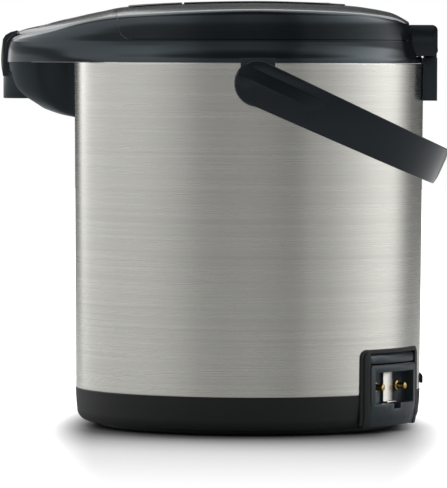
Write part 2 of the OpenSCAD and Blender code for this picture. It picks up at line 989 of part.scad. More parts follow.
module keeper_plate() {
    color("gainsboro")
    at_inlet()
    translate([recess_floor_x + 0.8 + seat_gap, -keeper_half_w, recess_z[0] + 0.2])
        union() {
            cube([0.9, 2 * keeper_half_w, recess_z[1] - recess_z[0] - 0.6]);
            cube([3.8, 2 * keeper_half_w, 0.9]);
        }
}

module power_pins() {
    color("goldenrod")
    at_inlet()
    for (y = [-pin_y, pin_y])
        translate([98, y, pin_z])
            rotate([0, 90, 0])
                union() {
                    cylinder(h = pin_tip_x - 98, r = 2);
                    translate([0, 0, recess_floor_x + seat_gap - 98])
                        cylinder(h = 1, r = 3.2);
                }
}

module rear_stop() {
    z0 = 27.5;
    height = 7;
    color("#1c1f21")
    difference() {
        intersection() {
            shell_solid(2.1, z0, z0 + height);
            translate([100, -6, z0])
                cube([20, 12, height]);
        }
        shell_solid(0.1, z0 - 1, z0 + height + 1);
        translate([body_bottom_r + 2.4, -10, z0 + height - 2.6])
            rotate([0, -45, 0])
                cube([6, 20, 6]);
    }
}

// ---------------------------------------------------------------- lid hinge

knuckle_r = 4;
hinge_pin_r = 1.6;
lug_half_w = 8.2;
block_corner = 3.6;

module along_y(half_length, r) {
    rotate([90, 0, 0])
        cylinder(h = 2 * half_length, r = r, center = true);
}

module hinge_bracket() {
    color("#191b1d")
    difference() {
        union() {
            difference() {
                translate([100, -17, 206.5])
                    cube([18.7, 34, 27.1]);
                translate([hinge_x, 0, hinge_z])
                    along_y(30, knuckle_r + 0.9);
            }
            translate([hinge_x - knuckle_r, -lug_half_w, 230])
                cube([2 * knuckle_r, 2 * lug_half_w, hinge_z - 230]);
            translate([hinge_x, 0, hinge_z])
                along_y(lug_half_w, knuckle_r);
        }
        shell_solid(0.45, 200, 231);
        translate([0, 0, 229])
            cylinder(h = 12, r = crown_r + 0.15);
        translate([hinge_x, 0, hinge_z])
            along_y(20, hinge_pin_r + 0.02);
    }
}

module hinge_pin() {
    color("silver")
    translate([hinge_x, 0, hinge_z])
        along_y(24, hinge_pin_r);
}

module hinge_block() {
    color("#1c1f21")
    difference() {
        across(2 * hinge_half_w)
            union() {
                translate([100.7, hinge_z - 3.9])
                    square([hinge_x - 100.7, 19.6]);
                translate([hinge_x, hinge_z])
                    circle(knuckle_r);
                translate([hinge_x - 1, hinge_z])
                    square([knuckle_r + 0.8, 15.7 - block_corner]);
                translate([hinge_x - 2, hinge_z])
                    square([knuckle_r + 1.8 - block_corner, 15.7]);
                translate([hinge_x + knuckle_r - 0.2 - block_corner, hinge_z + 15.7 - block_corner])
                    circle(block_corner);
            }
        // groove over the cover's rib
        translate([90, -rib_half_w - gap, 230])
            cube([rib_end_x + 0.9 - 90, 2 * (rib_half_w + gap), 5.9]);
        // the bracket's lug swings through here
        translate([hinge_x, 0, hinge_z])
            along_y(lug_half_w + gap, knuckle_r + gap);
        translate([hinge_x - knuckle_r - gap, -lug_half_w - gap, hinge_z - 10])
            cube([30, 2 * (lug_half_w + gap), 10 + knuckle_r + gap]);
        translate([hinge_x, 0, hinge_z])
            along_y(24.5, hinge_pin_r + run_gap);
    }
}

// ---------------------------------------------------------------- lid

plate_stations = [
    for (x = [-41, -38, -24, -8, 8, 24, 38, 48, 54, 58, 60.5])
        [x, x < 40 ? 30 : 30 * sqrt(1 - pow((x - 40) / 22, 2))]
];
lever_stations = [for (x = [-76, -74.5, -71, -64, -56, -48, -42.6]) [x, x < -72 ? 26 + (x + 76) : 30]];
lever_axis = [-43.8, 265];
lever_swing_r = 3.45;
lever_pin_r = 1.2;
lid_cavity_z = 259.5;
lid_hollow_x = 76.5;

function grown(stations, by) = [
    for (i = [0:len(stations) - 1])
        [stations[i][0] + (i == 0 ? -by : i == len(stations) - 1 ? by : 0), stations[i][1] + by]
];

// Shallow dish where a finger gets under the lever's front edge
module finger_scoop() {
    translate([-77, 0, 262.8 + 36])
        sphere(36);
}

module lid_shell() {
    color("#17191b")
    difference() {
        intersection() {
            crown();
            lid_zone(seam_gap);
        }
        // hollow under the dome
        intersection() {
            translate([0, 0, 240])
                cylinder(h = lid_cavity_z - 240, r1 = 102.2, r2 = 84);
            translate([-lid_hollow_x, -far / 2, 0])
                cube([far, far, far]);
        }
        skin(grown(plate_stations, 0.2), 4, 1.9);
        skin(grown(lever_stations, 0.3), 4, 2.1);
        // finger scoop ahead of the lever, and room for its knuckles
        finger_scoop();
        translate([lever_axis[0], 0, lever_axis[1]]) {
            along_y(30.4, lever_swing_r);
            along_y(33.4, lever_pin_r + 0.02);
        }
        // seat of the hinge block
        translate([100.6, -hinge_half_w - 0.1, 230])
            cube([30, 2 * hinge_half_w + 0.2, 40]);
        // steam way and the latch's slot
        translate([40, 0, 255])
            cylinder(h = 20, r = 8);
        translate([-90, -7.2, 248.6])
            cube([14, 14.4, 4.8]);
    }
}

module lid_base() {
    color("#2b2e30")
    difference() {
        intersection() {
            union() {
                translate([0, 0, 241])
                    cylinder(h = 3.5, r = 100.6);
                translate([0, 0, 236])
                    cylinder(h = 8, r = 79);
            }
            translate([-79.2, -far / 2, 0])
                cube([179.5, far, far]);
        }
        translate([0, 0, 230])
            cylinder(h = 12, r = 76.6);
        translate([40, 0, 230])
            cylinder(h = 20, r = 4);
    }
}

module inner_lid() {
    color("#a4a8aa")
    difference() {
        rotate_extrude()
            polygon([
                [0, 229], [60, 229], [68, 230.5], [73, 234], [76.2, 239], [76.2, 241.8], [75.2, 241.8],
                [75.2, 239.2], [72.3, 234.9], [67.6, 231.5], [60, 230], [0, 230]
            ]);
        for (a = [0:60:300])
            translate([40, 0, 220])
                rotate(a)
                    translate([5, 0, 0])
                        cylinder(h = 20, r = 1.4, $fn = 24);
    }
}

module lid_gasket() {
    color("#c9c6bf")
    rotate_extrude()
        polygon([[76.6, 235.8], [76.6, 230.5], [78, 229], [81.2, 230.2], [79.2, 232], [79.2, 235.8]]);
}

module top_plate() {
    color("#222527")
    difference() {
        skin(plate_stations, 0.8, 1.7);
        translate([40, 0, 250])
            cylinder(h = 30, r = 11.2);
    }
}

module steam_vent_cap() {
    color("#2a2d2f")
    difference() {
        translate([40, 0, 266])
            cylinder(h = 2.2, r = 11);
        for (a = [0:45:315])
            translate([40, 0, 260])
                rotate(a)
                    translate([3.4, -0.6, 0])
                        cube([4.8, 1.2, 20]);
    }
}

module lever_pin() {
    color("silver")
    translate([lever_axis[0], 0, lever_axis[1]])
        along_y(33, lever_pin_r);
}

module lid_lever() {
    color("#26292b")
    difference() {
        union() {
            skin(lever_stations, 0.8, 1.7);
            for (y = [-15, 15])
                translate([lever_axis[0], y, lever_axis[1]])
                    along_y(7, 2.3);
        }
        translate([lever_axis[0], 0, lever_axis[1]])
            along_y(40, lever_pin_r + run_gap);
        translate([0, 0, 0.8])
            finger_scoop();
    }
}

module latch_hook() {
    color("#3a3e41")
    union() {
        translate([-82.6, -6.6, 249.2])
            cube([12.6, 13.2, 3.4]);
        translate([-75.5, -6.6, 249.2])
            cube([5.5, 13.2, 9.5]);
    }
}

// ---------------------------------------------------------------- handle

lug_face_y = 112.3;
stud_r = 6;
handle_inner_y = 113.4;
handle_outer_y = 122.4;
handle_end_r = 13.8;
bow_face_r = 32.5;

module handle_lugs() {
    color("#1c1f21")
    for (side = [-1, 1])
        difference() {
            union() {
                translate([pivot_x, side * (lug_face_y - 5), pivot_z])
                    along_y(5, 14.4);
                translate([pivot_x - 10.6, side > 0 ? 100 : -lug_face_y, pivot_z])
                    cube([21.2, lug_face_y - 100, 233 - pivot_z]);
                translate([pivot_x, side * (lug_face_y + 3), pivot_z])
                    along_y(3.5, stud_r);
            }
            shell_solid(0.2, 195, shell_top_z, $fn = 240);
            translate([0, 0, shell_top_z - eps])
                cylinder(h = 10, r = crown_r + 0.12, $fn = 240);
        }
}

// Half of a squared oval from the pivots round the grip
bow_power = 2 / 2.6;
function squared(v) = sign(v) * pow(abs(v), bow_power);
function grip_oval(reach, half_w) = [
    for (i = [0:36]) let (a = -90 + 5 * i) [reach * squared(cos(a)), half_w * squared(sin(a))]
];

// Wedge that cuts the long facet along an arm's outer face
module arm_facet(side) {
    translate([-17, side * 121.3, 0])
        rotate([0, 0, -side * 1.7])
            rotate([90, 0, 90])
                linear_extrude(61)
                    polygon([[side * 1.25, 0.2], [0, 7.4], [side * 4, 7.4], [side * 4, 0.2]]);
}

// In the handle's own frame the pivots are at the origin and the grip is at +X
module handle() {
    inner_reach = handle_reach - 7.1;
    back = -handle_end_r;
    color("#1f2224")
    translate([pivot_x, 0, pivot_z])
        rotate([0, handle_tilt, 0])
            difference() {
                intersection() {
                    translate([0, 0, -20])
                        linear_extrude(40)
                            difference() {
                                polygon(concat(
                                    [[back, -handle_outer_y]],
                                    grip_oval(handle_reach, handle_outer_y),
                                    [[back, handle_outer_y]]
                                ));
                                polygon(concat(
                                    [[back - 1, -handle_inner_y]],
                                    grip_oval(inner_reach, handle_inner_y),
                                    [[back - 1, handle_inner_y]]
                                ));
                            }
                    union() {
                        along_y(handle_outer_y + 5, handle_end_r);
                        across(2 * handle_outer_y + 10)
                            intersection() {
                                polygon([
                                    [-2, -13.6], [-2, 13.6], [handle_reach + 2, 12], [handle_reach + 2, -11.4]
                                ]);
                                translate([handle_reach - bow_face_r, 0])
                                    union() {
                                        circle(bow_face_r);
                                        translate([-far, -bow_face_r])
                                            square([far, 2 * bow_face_r]);
                                    }
                            }
                    }
                }
                for (side = [-1, 1]) {
                    translate([0, side * (lug_face_y + 3.7), 0])
                        along_y(3.3, stud_r + run_gap);
                    arm_facet(side);
                }
            }
}

outer_shell();
base_skirt();
bottom_plate();
bottom_screws();
upper_cover();
spout_cover();
nose_band();
control_panel();
display_window();
control_board();
outlet_pipe();
gauge_tube();
gauge_window();
gauge_float();
inner_tank();
tank_floor();
insulation_jacket();
heater_plate();
thermostat();
tank_drain_hose();
pump_housing();
pump_motor();
pump_outlet_hose();
impeller();
power_board();
inlet_frame();
inlet_bezel();
inlet_cap();
keeper_plate();
power_pins();
rear_stop();
hinge_bracket();
hinge_pin();
handle_lugs();
handle();
lid_shell();
lid_base();
inner_lid();
lid_gasket();
top_plate();
steam_vent_cap();
hinge_block();
lever_pin();
lid_lever();
latch_hook();
turntable();
swivel_clip();
foot_pads();
key_dispense();
key_unlock();
key_reboil();
key_timer();
key_select();
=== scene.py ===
"""Electric thermo pot: finishes, modelled shells and details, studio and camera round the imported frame."""

import json
import logging
import math
from collections.abc import Callable, Sequence
from dataclasses import dataclass
from enum import Enum
from functools import cached_property

import bpy
from mathutils import Euler, Matrix, Vector


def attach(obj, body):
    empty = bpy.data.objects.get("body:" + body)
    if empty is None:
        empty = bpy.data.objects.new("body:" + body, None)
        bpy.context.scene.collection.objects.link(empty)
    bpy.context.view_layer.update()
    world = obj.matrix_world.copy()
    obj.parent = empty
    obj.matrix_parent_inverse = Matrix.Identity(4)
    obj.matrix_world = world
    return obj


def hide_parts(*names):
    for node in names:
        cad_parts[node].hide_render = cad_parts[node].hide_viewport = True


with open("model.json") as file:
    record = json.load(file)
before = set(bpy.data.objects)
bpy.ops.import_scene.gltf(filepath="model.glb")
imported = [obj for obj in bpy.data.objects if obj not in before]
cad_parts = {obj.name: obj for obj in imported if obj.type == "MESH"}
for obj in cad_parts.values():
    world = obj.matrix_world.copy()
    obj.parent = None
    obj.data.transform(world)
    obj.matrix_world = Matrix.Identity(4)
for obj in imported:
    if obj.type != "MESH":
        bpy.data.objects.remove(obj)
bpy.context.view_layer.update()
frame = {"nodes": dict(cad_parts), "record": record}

LOG = logging.getLogger("thermo_pot")
MM = 0.001
FAR = 200  # Millimetres that take a cutter past every side of the pot.
MOULDED = 32  # Degrees below which a moulded surface shades smooth.
ROUND = 180  # Faces round the large bores.
Piece = bpy.types.Object
Tree = bpy.types.NodeTree
Node = bpy.types.Node
Station = tuple[float, float]
Point = tuple[float, float, float]
Place = Callable[[float, float], Point]


# ---------------------------------------------------------------- colour and nodes


def linear(hex_colour: str) -> tuple[float, float, float, float]:
    """Turns an sRGB colour, six hex digits after a hash sign, into linear RGBA."""
    parts = [int(hex_colour[i : i + 2], 16) / 255 for i in (1, 3, 5)]
    return (*((c / 12.92 if c <= 0.04045 else ((c + 0.055) / 1.055) ** 2.4) for c in parts), 1.0)


def node_of(tree: Tree, kind: str) -> Node:
    """Returns a tree's first node of a type."""
    return next(n for n in tree.nodes if n.type == kind)


def connect(tree: Tree, node: Node, **links: object) -> None:
    """Links or sets a node's inputs.

    Args:
        tree: The node's tree.
        node: The node that gets the values.
        links: Input name with underscores for spaces, or i and an index, to a node, a socket or a value. A node
            stands for its first output in use.
    """
    for name, value in links.items():
        socket = node.inputs[int(name[1:])] if name[1:].isdigit() else node.inputs[name.replace("_", " ")]
        if isinstance(value, Node):
            value = next(s for s in value.outputs if s.enabled)
        if isinstance(value, bpy.types.NodeSocket):
            tree.links.new(value, socket)
        else:
            socket.default_value = value


def add_node(tree: Tree, kind: str, settings: dict | None = None, **links: object) -> Node:
    """Adds one node with its settings and links.

    Args:
        tree: The node tree that gets the node.
        kind: Blender's type name without the ShaderNode prefix.
        settings: Attributes of the node.
        links: Inputs, as connect takes them.

    Returns:
        The new node.
    """
    node = tree.nodes.new("ShaderNode" + kind)
    for name, value in (settings or {}).items():
        setattr(node, name, value)
    connect(tree, node, **links)
    return node


def reckon(tree: Tree, operation: str, *values: object) -> Node:
    """Adds a math node that works on nodes, sockets or numbers."""
    return add_node(tree, "Math", {"operation": operation}, **{f"i{i}": value for i, value in enumerate(values)})


def remap(tree: Tree, value: object, span: Station = (0, 1), ends: Station = (0, 1), soft: bool = False) -> Node:
    """Adds a node that maps one range to another and holds its ends.

    Args:
        tree: The tree that gets the node.
        value: The node or socket to map.
        span: The values where the range begins and ends.
        ends: The results there.
        soft: True to ease in and out.

    Returns:
        The new node.
    """
    return add_node(
        tree, "MapRange", {"interpolation_type": "SMOOTHSTEP" if soft else "LINEAR"}, Value=value,
        From_Min=span[0], From_Max=span[1], To_Min=ends[0], To_Max=ends[1],
    )


def fill_ramp(ramp: Node, stations: Sequence[Station]) -> None:
    """Gives a colour ramp grey stops.

    Args:
        ramp: The ramp's node.
        stations: Places and levels, of which the first and last places are the ramp's ends.
    """
    low, high = stations[0][0], stations[-1][0]
    stops = ramp.color_ramp.elements
    for place, _ in stations[1:-1]:
        stops.new((place - low) / (high - low))
    for stop, (_, level) in zip(stops, stations):
        stop.color = (level, level, level, 1)


@dataclass(frozen=True)
class Finish:
    """What a surface is made of and how it was made.

    Attributes:
        title: The material's common name.
        colour: Base colour as sRGB hex.
        roughness: Microfacet roughness.
        metallic: One for a bare metal.
        ior: Index of refraction.
        grain_mm: Spacing of the surface's fine texture.
        grain_depth: How far that texture moves the normal, from 0 to 1.
        mottle: How far roughness varies over the surface.
        patch_mm: Spacing of that variation.
        coat: Weight of a clear lacquer.
        tint: Colour of the reflections seen face on, as sRGB hex.
    """

    title: str
    colour: str
    roughness: float
    metallic: float = 0.0
    ior: float = 1.5
    grain_mm: float = 0.6
    grain_depth: float = 0.05
    mottle: float = 0.04
    patch_mm: float = 35.0
    coat: float = 0.0
    tint: str = "#FFFFFF"

    def start(self) -> tuple[bpy.types.Material, Node, bpy.types.NodeSocket]:
        """Makes the material with its plain values set.

        Returns:
            The material, its shader and the object's coordinates.
        """
        material = bpy.data.materials.new(self.title)
        material.use_nodes = True
        tree = material.node_tree
        shader = node_of(tree, "BSDF_PRINCIPLED")
        connect(
            tree, shader, Base_Color=linear(self.colour), Metallic=self.metallic, IOR=self.ior,
            Coat_Weight=self.coat, Specular_Tint=linear(self.tint), Roughness=self.roughness,
        )
        return material, shader, add_node(tree, "TexCoord").outputs["Object"]

    def uneven(self, tree: Tree, by: Node, span: Station = (0, 1)) -> Node:
        """Returns the roughness, varied by a noise of a span."""
        return remap(tree, by, span, (self.roughness - self.mottle, self.roughness + self.mottle))

    def build(self) -> bpy.types.Material:
        """Makes the material: a moulded surface with fine grain and slightly uneven gloss.

        Returns:
            The finished material.
        """
        material, shader, place = self.start()
        tree = material.node_tree
        grain = add_node(tree, "TexNoise", Vector=place, Scale=1 / (self.grain_mm * MM), Detail=2.0)
        patches = add_node(tree, "TexNoise", Vector=place, Scale=1 / (self.patch_mm * MM), Detail=3.0)
        bump = add_node(tree, "Bump", Strength=self.grain_depth, Distance=self.grain_mm * MM, Height=grain)
        connect(tree, shader, Roughness=self.uneven(tree, patches), Normal=bump)
        return material


@dataclass(frozen=True)
class BrushedFinish(Finish):
    """Stainless steel ground with a belt that ran round the body.

    Attributes:
        streak_mm: Width of a grinding streak, drawn wider than the real 0.1 mm so that it shows.
        streak_length_mm: Length of a streak.
        streak_depth_mm: Depth of a streak.
        wide: How much wider a second set of streaks is.
        contrast: How far the streaks change the colour.
        spread: How far the grain draws highlights out across itself.
        turn: Direction of that, as a share of a turn from the way round the body.
    """

    streak_mm: float = 0.7
    streak_length_mm: float = 220.0
    streak_depth_mm: float = 0.02
    wide: float = 3.7
    contrast: float = 0.05
    spread: float = 0.85
    turn: float = 0.25

    def build(self) -> bpy.types.Material:
        """Makes the material: streaks along the grain and highlights drawn out across it.

        Returns:
            The finished material.
        """
        material, shader, place = self.start()
        tree = material.node_tree
        along = 1 / (self.streak_length_mm * MM)
        streaks = []
        for width, seed in ((self.streak_mm, 0.0), (self.streak_mm * self.wide, 0.31)):
            scale = (along, along, 1 / (width * MM))
            stretch = add_node(tree, "Mapping", Vector=place, Location=(seed, seed, seed), Scale=scale)
            streaks.append(add_node(tree, "TexNoise", Vector=stretch, Scale=1.0, Detail=2.0))
        mean = reckon(tree, "MULTIPLY", reckon(tree, "ADD", *streaks), 0.5)
        span = (0.25, 0.75)
        r, g, b, _ = linear(self.colour)
        ends = [(r * k, g * k, b * k, 1.0) for k in (1 - 2 * self.contrast, 1 + 2 * self.contrast)]
        colour = add_node(tree, "Mix", {"data_type": "RGBA"}, i0=remap(tree, mean, span), i6=ends[0], i7=ends[1])
        bump = add_node(
            tree, "Bump", Strength=self.grain_depth, Distance=self.streak_depth_mm * MM, Height=streaks[0]
        )
        connect(
            tree, shader, Base_Color=colour.outputs[2], Roughness=self.uneven(tree, mean, span), Normal=bump,
            Tangent=add_node(tree, "Tangent", {"direction_type": "RADIAL", "axis": "Z"}),
            Anisotropic=self.spread, Anisotropic_Rotation=self.turn,
        )
        return material


@dataclass(frozen=True)
class ClearFinish(Finish):
    """Clear moulded plastic.

    Attributes:
        clearness: Share of light that passes through.
    """

    clearness: float = 0.9

    def build(self) -> bpy.types.Material:
        """Makes the material: the moulded one with light passing through.

        Returns:
            The finished material.
        """
        material = super().build()
        tree = material.node_tree
        connect(tree, node_of(tree, "BSDF_PRINCIPLED"), Transmission_Weight=self.clearness)
        return material


class Surface(Enum):
    """Every finish on the pot. A grain of 0.4 mm and more is drawn coarser than the real one, so that it shows."""

    # Broad bands of light that run up and down, crossed by fine level streaks.
    SHELL_STEEL = BrushedFinish(
        "brushed_stainless_steel", "#D2D1CB", 0.27, metallic=1.0, grain_depth=0.04, mottle=0.02
    )
    # A soft, bright sheen without lines.
    INNER_STEEL = Finish("satin_stainless_steel", "#B9BCBD", 0.3, metallic=1.0, grain_depth=0.02)
    # Small clear glints on pins and screws.
    PIN_STEEL = Finish("turned_steel", "#A9ABAD", 0.28, metallic=1.0, grain_depth=0.03)
    # Deep black with long, clear, slightly blue highlights.
    GLOSS_BLACK = Finish(
        "polished_black_abs", "#101416", 0.13, ior=1.55, grain_mm=2.5, grain_depth=0.002, mottle=0.02, tint="#D6E8F4"
    )
    # Charcoal with a wide, soft, slightly blue sheen.
    SATIN_BLACK = Finish(
        "satin_charcoal_polypropylene", "#272D31", 0.32, grain_mm=0.5, grain_depth=0.06, tint="#D6E8F4"
    )
    # Flat black whose coarse texture swallows highlights.
    MATTE_BLACK = Finish("spark_eroded_black_polypropylene", "#141617", 0.6, ior=1.42, grain_mm=0.7, grain_depth=0.18)
    # Charcoal under a thin lacquer, with crisp highlights over a softer sheen.
    PANEL_GLOSS = Finish(
        "coated_charcoal_abs", "#24282A", 0.18, ior=1.53, grain_mm=2.5, grain_depth=0.003, mottle=0.02, coat=0.3
    )
    # Dark grey, paler and duller than the panel round it.
    KEY_PLASTIC = Finish("satin_grey_abs", "#3A3F42", 0.36, grain_mm=0.5, grain_depth=0.05)
    # A grey pane that darkens what lies under it.
    WINDOW = ClearFinish("smoked_polycarbonate", "#6E7A80", 0.08, ior=1.58, grain_mm=4, grain_depth=0.01, mottle=0.02)
    # Nearly colourless, seen by its highlights.
    GAUGE = ClearFinish("clear_polycarbonate", "#DDE6EA", 0.06, ior=1.58, grain_mm=4, grain_depth=0.01, mottle=0.02)
    # Green lacquer with a soft shine.
    BOARD = Finish("green_solder_mask", "#1E5A34", 0.35, grain_mm=0.8, grain_depth=0.06)
    # Warm white with a waxy sheen.
    WHITE_PLASTIC = Finish("natural_polypropylene", "#DAD9D2", 0.4, grain_depth=0.05)
    # Strong red that shows through the gauge.
    RED_PLASTIC = Finish("red_polypropylene", "#B3181C", 0.35, grain_depth=0.05)
    # Pale grey, dull and slightly uneven.
    SILICONE = Finish("translucent_silicone", "#CFCDC6", 0.5, grain_mm=0.4, grain_depth=0.08)
    # Cream, shaggy and without any highlight.
    FELT = Finish("glass_wool_felt", "#CBC7BB", 0.95, grain_mm=1.6, grain_depth=0.8)
    # Cool grey metal with a cloudy shine.
    MOTOR_CAN = Finish("zinc_plated_steel", "#A6A8AA", 0.32, metallic=1.0, grain_depth=0.05)
    # Brownish grey flakes that glitter weakly.
    HEATER_MICA = Finish("mica_heater", "#A39A84", 0.5, metallic=0.6, grain_mm=3, grain_depth=0.2)
    # A bright, slightly warm mirror gone soft.
    KEEPER_STEEL = Finish("nickel_plated_steel", "#DAD8D0", 0.24, metallic=1.0, grain_depth=0.03)
    # Warm yellow metal with clear glints.
    BRASS = Finish("polished_brass", "#C2A467", 0.22, metallic=1.0, grain_depth=0.02)
    # Black without shine.
    PAD_RUBBER = Finish("black_rubber", "#161616", 0.8, grain_mm=0.5, grain_depth=0.25)

    @property
    def material(self) -> bpy.types.Material:
        """The finish's material, made the first time it is asked for."""
        return bpy.data.materials.get(self.value.title) or self.value.build()

    @property
    def slot(self) -> str:
        """The record's slot that the finish belongs to."""
        return "window" if self is Surface.GAUGE else self.name.lower()


Kept = tuple[tuple[Surface, tuple[str, ...]], ...]
Trimmed = tuple[tuple[str, Surface, float], ...]


# ---------------------------------------------------------------- modelling tools


def activate(piece: Piece) -> None:
    """Makes a piece the only selected and active object.

    Args:
        piece: The piece to work on.
    """
    if bpy.context.mode != "OBJECT":
        bpy.ops.object.mode_set(mode="OBJECT")
    bpy.ops.object.select_all(action="DESELECT")
    piece.select_set(True)
    bpy.context.view_layer.objects.active = piece


def fresh(add: Callable[..., object], **settings: object) -> Piece:
    """Adds a primitive and applies its transform.

    Args:
        add: The primitive's operator.
        settings: The operator's settings.

    Returns:
        The new object.
    """
    bpy.ops.object.select_all(action="DESELECT")
    add(**settings)
    bpy.ops.object.transform_apply(location=True, rotation=True, scale=True)
    return bpy.context.object


def edit_all(piece: Piece, *steps: Callable[[], object]) -> None:
    """Runs edit mode operators on all of a piece's mesh.

    Args:
        piece: The piece to edit.
        steps: Operator calls, in order.
    """
    activate(piece)
    bpy.ops.object.mode_set(mode="EDIT")
    bpy.ops.mesh.select_all(action="SELECT")
    for step in steps:
        step()
    bpy.ops.object.mode_set(mode="OBJECT")


def face_out() -> None:
    """Selects the whole mesh and turns its faces outwards."""
    bpy.ops.mesh.select_all(action="SELECT")
    bpy.ops.mesh.normals_make_consistent(inside=False)


def put(piece: Piece, degrees: float, axis: str, shift: Sequence[float] = (0, 0, 0)) -> None:
    """Turns a piece about the origin, moves it and applies both.

    Args:
        piece: The piece to place.
        degrees: Angle, which runs clockwise for who looks along the axis towards the origin.
        axis: Name of the axis.
        shift: The move in millimetres.
    """
    activate(piece)
    bpy.ops.transform.rotate(value=math.radians(degrees), orient_axis=axis, center_override=(0, 0, 0))
    bpy.ops.transform.translate(value=[step * MM for step in shift])
    bpy.ops.object.transform_apply(location=True, rotation=True, scale=True)


def modify(piece: Piece, kind: str, **settings: object) -> None:
    """Adds a modifier and applies it.

    Args:
        piece: The piece to change.
        kind: The modifier's type.
        settings: The modifier's attributes.
    """
    activate(piece)
    bpy.ops.object.modifier_add(type=kind)
    modifier = piece.modifiers[-1]
    for name, value in settings.items():
        setattr(modifier, name, value)
    bpy.ops.object.modifier_apply(modifier=modifier.name)


def merged_copy(node: str) -> Piece:
    """Copies a CAD node's mesh into a new object with its loose triangles joined.

    Args:
        node: The CAD node's name.

    Returns:
        The copy, which rides on nothing yet.
    """
    piece = bpy.data.objects.new(node + "_finished", frame["nodes"][node].data.copy())
    bpy.context.scene.collection.objects.link(piece)
    piece.data.materials.clear()
    edit_all(
        piece,
        lambda: bpy.ops.mesh.remove_doubles(threshold=0.002 * MM),
        lambda: bpy.ops.mesh.dissolve_limited(angle_limit=math.radians(0.3)),
    )
    return piece


def grid_form(name: str, columns: int, rows: int, place: Place) -> Piece:
    """Shapes a grid into a closed or open form and joins what meets.

    Args:
        name: The piece's name.
        columns: Cells round the form.
        rows: Cells along the form.
        place: Gives the point in millimetres for shares from 0 to 1 round and along the form.

    Returns:
        The shaped piece.
    """
    piece = fresh(bpy.ops.mesh.primitive_grid_add, x_subdivisions=columns, y_subdivisions=rows, size=1)
    piece.name = name
    for vertex in piece.data.vertices:
        u, v = vertex.co.x + 0.5, vertex.co.y + 0.5
        vertex.co = Vector(place(u, v)) * MM
    edit_all(piece, lambda: bpy.ops.mesh.remove_doubles(threshold=0.02 * MM), face_out)
    return piece


def block(low: Sequence[float], high: Sequence[float]) -> Piece:
    """Adds a box between two corners given in millimetres."""
    middle, size = [(a + b) / 2 * MM for a, b in zip(low, high)], [(b - a) * MM for a, b in zip(low, high)]
    return fresh(bpy.ops.mesh.primitive_cube_add, size=1, location=middle, scale=size)


def rod(
    start: Sequence[float], length: float, radius: float, turn: Sequence[float] = (0, 0, 0), sides: int = 96
) -> Piece:
    """Adds a cylinder that starts at a point and runs along its own +Z.

    Args:
        start: Middle of the first end, in millimetres.
        length: Length in millimetres.
        radius: Radius in millimetres.
        turn: Euler angles in degrees that turn +Z to the cylinder's direction.
        sides: Number of faces round it.

    Returns:
        The cylinder.
    """
    turned = Euler([math.radians(a) for a in turn])
    middle = Vector(start) * MM + turned.to_matrix() @ Vector((0, 0, length / 2 * MM))
    return fresh(
        bpy.ops.mesh.primitive_cylinder_add, vertices=sides, radius=radius * MM, depth=length * MM, location=middle,
        rotation=turned,
    )


def bore(z: float, depth: float, radius: float, x: float = 0) -> Piece:
    """Adds a large upright cylinder on the pot's middle plane, from a height upwards, in millimetres."""
    return rod((x, 0, z), depth, radius, sides=ROUND)


def taper(low: float, high: float, low_radius: float, high_radius: float, sides: int = ROUND) -> Piece:
    """Adds a cone frustum about the body's axis.

    Args:
        low: Its lower height in millimetres.
        high: Its upper height.
        low_radius: Its radius below.
        high_radius: Its radius above.
        sides: Number of faces round it.

    Returns:
        The frustum.
    """
    return fresh(
        bpy.ops.mesh.primitive_cone_add, vertices=sides, radius1=low_radius * MM, radius2=high_radius * MM,
        depth=(high - low) * MM, location=(0, 0, (low + high) / 2 * MM),
    )


def slab(outline: Sequence[Station], low: float, high: float, across: bool = False) -> Piece:
    """Extrudes a flat outline into a solid.

    Args:
        outline: Corners in order, in millimetres: x and y, or x and z when the slab runs across the pot.
        low: Where the slab starts along y or z.
        high: Where it ends.
        across: True to extrude along y.

    Returns:
        The closed slab.
    """
    piece = fresh(bpy.ops.mesh.primitive_circle_add, vertices=len(outline), radius=1, fill_type="NGON")
    for vertex, (a, b) in zip(piece.data.vertices, outline):
        vertex.co = Vector((a, low, b) if across else (a, b, low)) * MM
    shift = Vector((0, high - low, 0) if across else (0, 0, high - low)) * MM
    edit_all(
        piece, lambda: bpy.ops.mesh.extrude_region_move(TRANSFORM_OT_translate={"value": shift}), face_out
    )
    return piece


def turned_form(name: str, profile: Sequence[Station], sides: int = 256) -> Piece:
    """Turns a closed profile round the body's axis.

    Args:
        name: The piece's name.
        profile: Corners as radius and height in millimetres, in order.
        sides: Number of faces round the axis.

    Returns:
        The closed solid.
    """

    def place(u: float, v: float) -> Point:
        """Gives the point at a share round the axis and along the profile."""
        radius, height = profile[round(v * len(profile)) % len(profile)]
        return radius * math.cos(math.tau * u), radius * math.sin(math.tau * u), height

    return grid_form(name, sides, len(profile), place)


def arc(centre: Station, radius: float, start: float, end: float, steps: int = 8) -> list[Station]:
    """Returns points along an arc, with its angles in degrees."""
    turns = [math.radians(mix(start, end, i / steps)) for i in range(steps + 1)]
    return [(centre[0] + radius * math.cos(a), centre[1] + radius * math.sin(a)) for a in turns]


def combine(piece: Piece, operation: str, *tools: Piece) -> None:
    """Applies one boolean operation with each tool in turn and removes the tools.

    Args:
        piece: The piece to change.
        operation: DIFFERENCE, UNION or INTERSECT.
        tools: The tool objects, which are used up.
    """
    for tool in tools:
        modify(piece, "BOOLEAN", operation=operation, solver="MANIFOLD", object=tool)
        bpy.data.objects.remove(tool)


def cut(piece: Piece, *tools: Piece) -> None:
    """Cuts tools from a piece, which uses them up."""
    combine(piece, "DIFFERENCE", *tools)


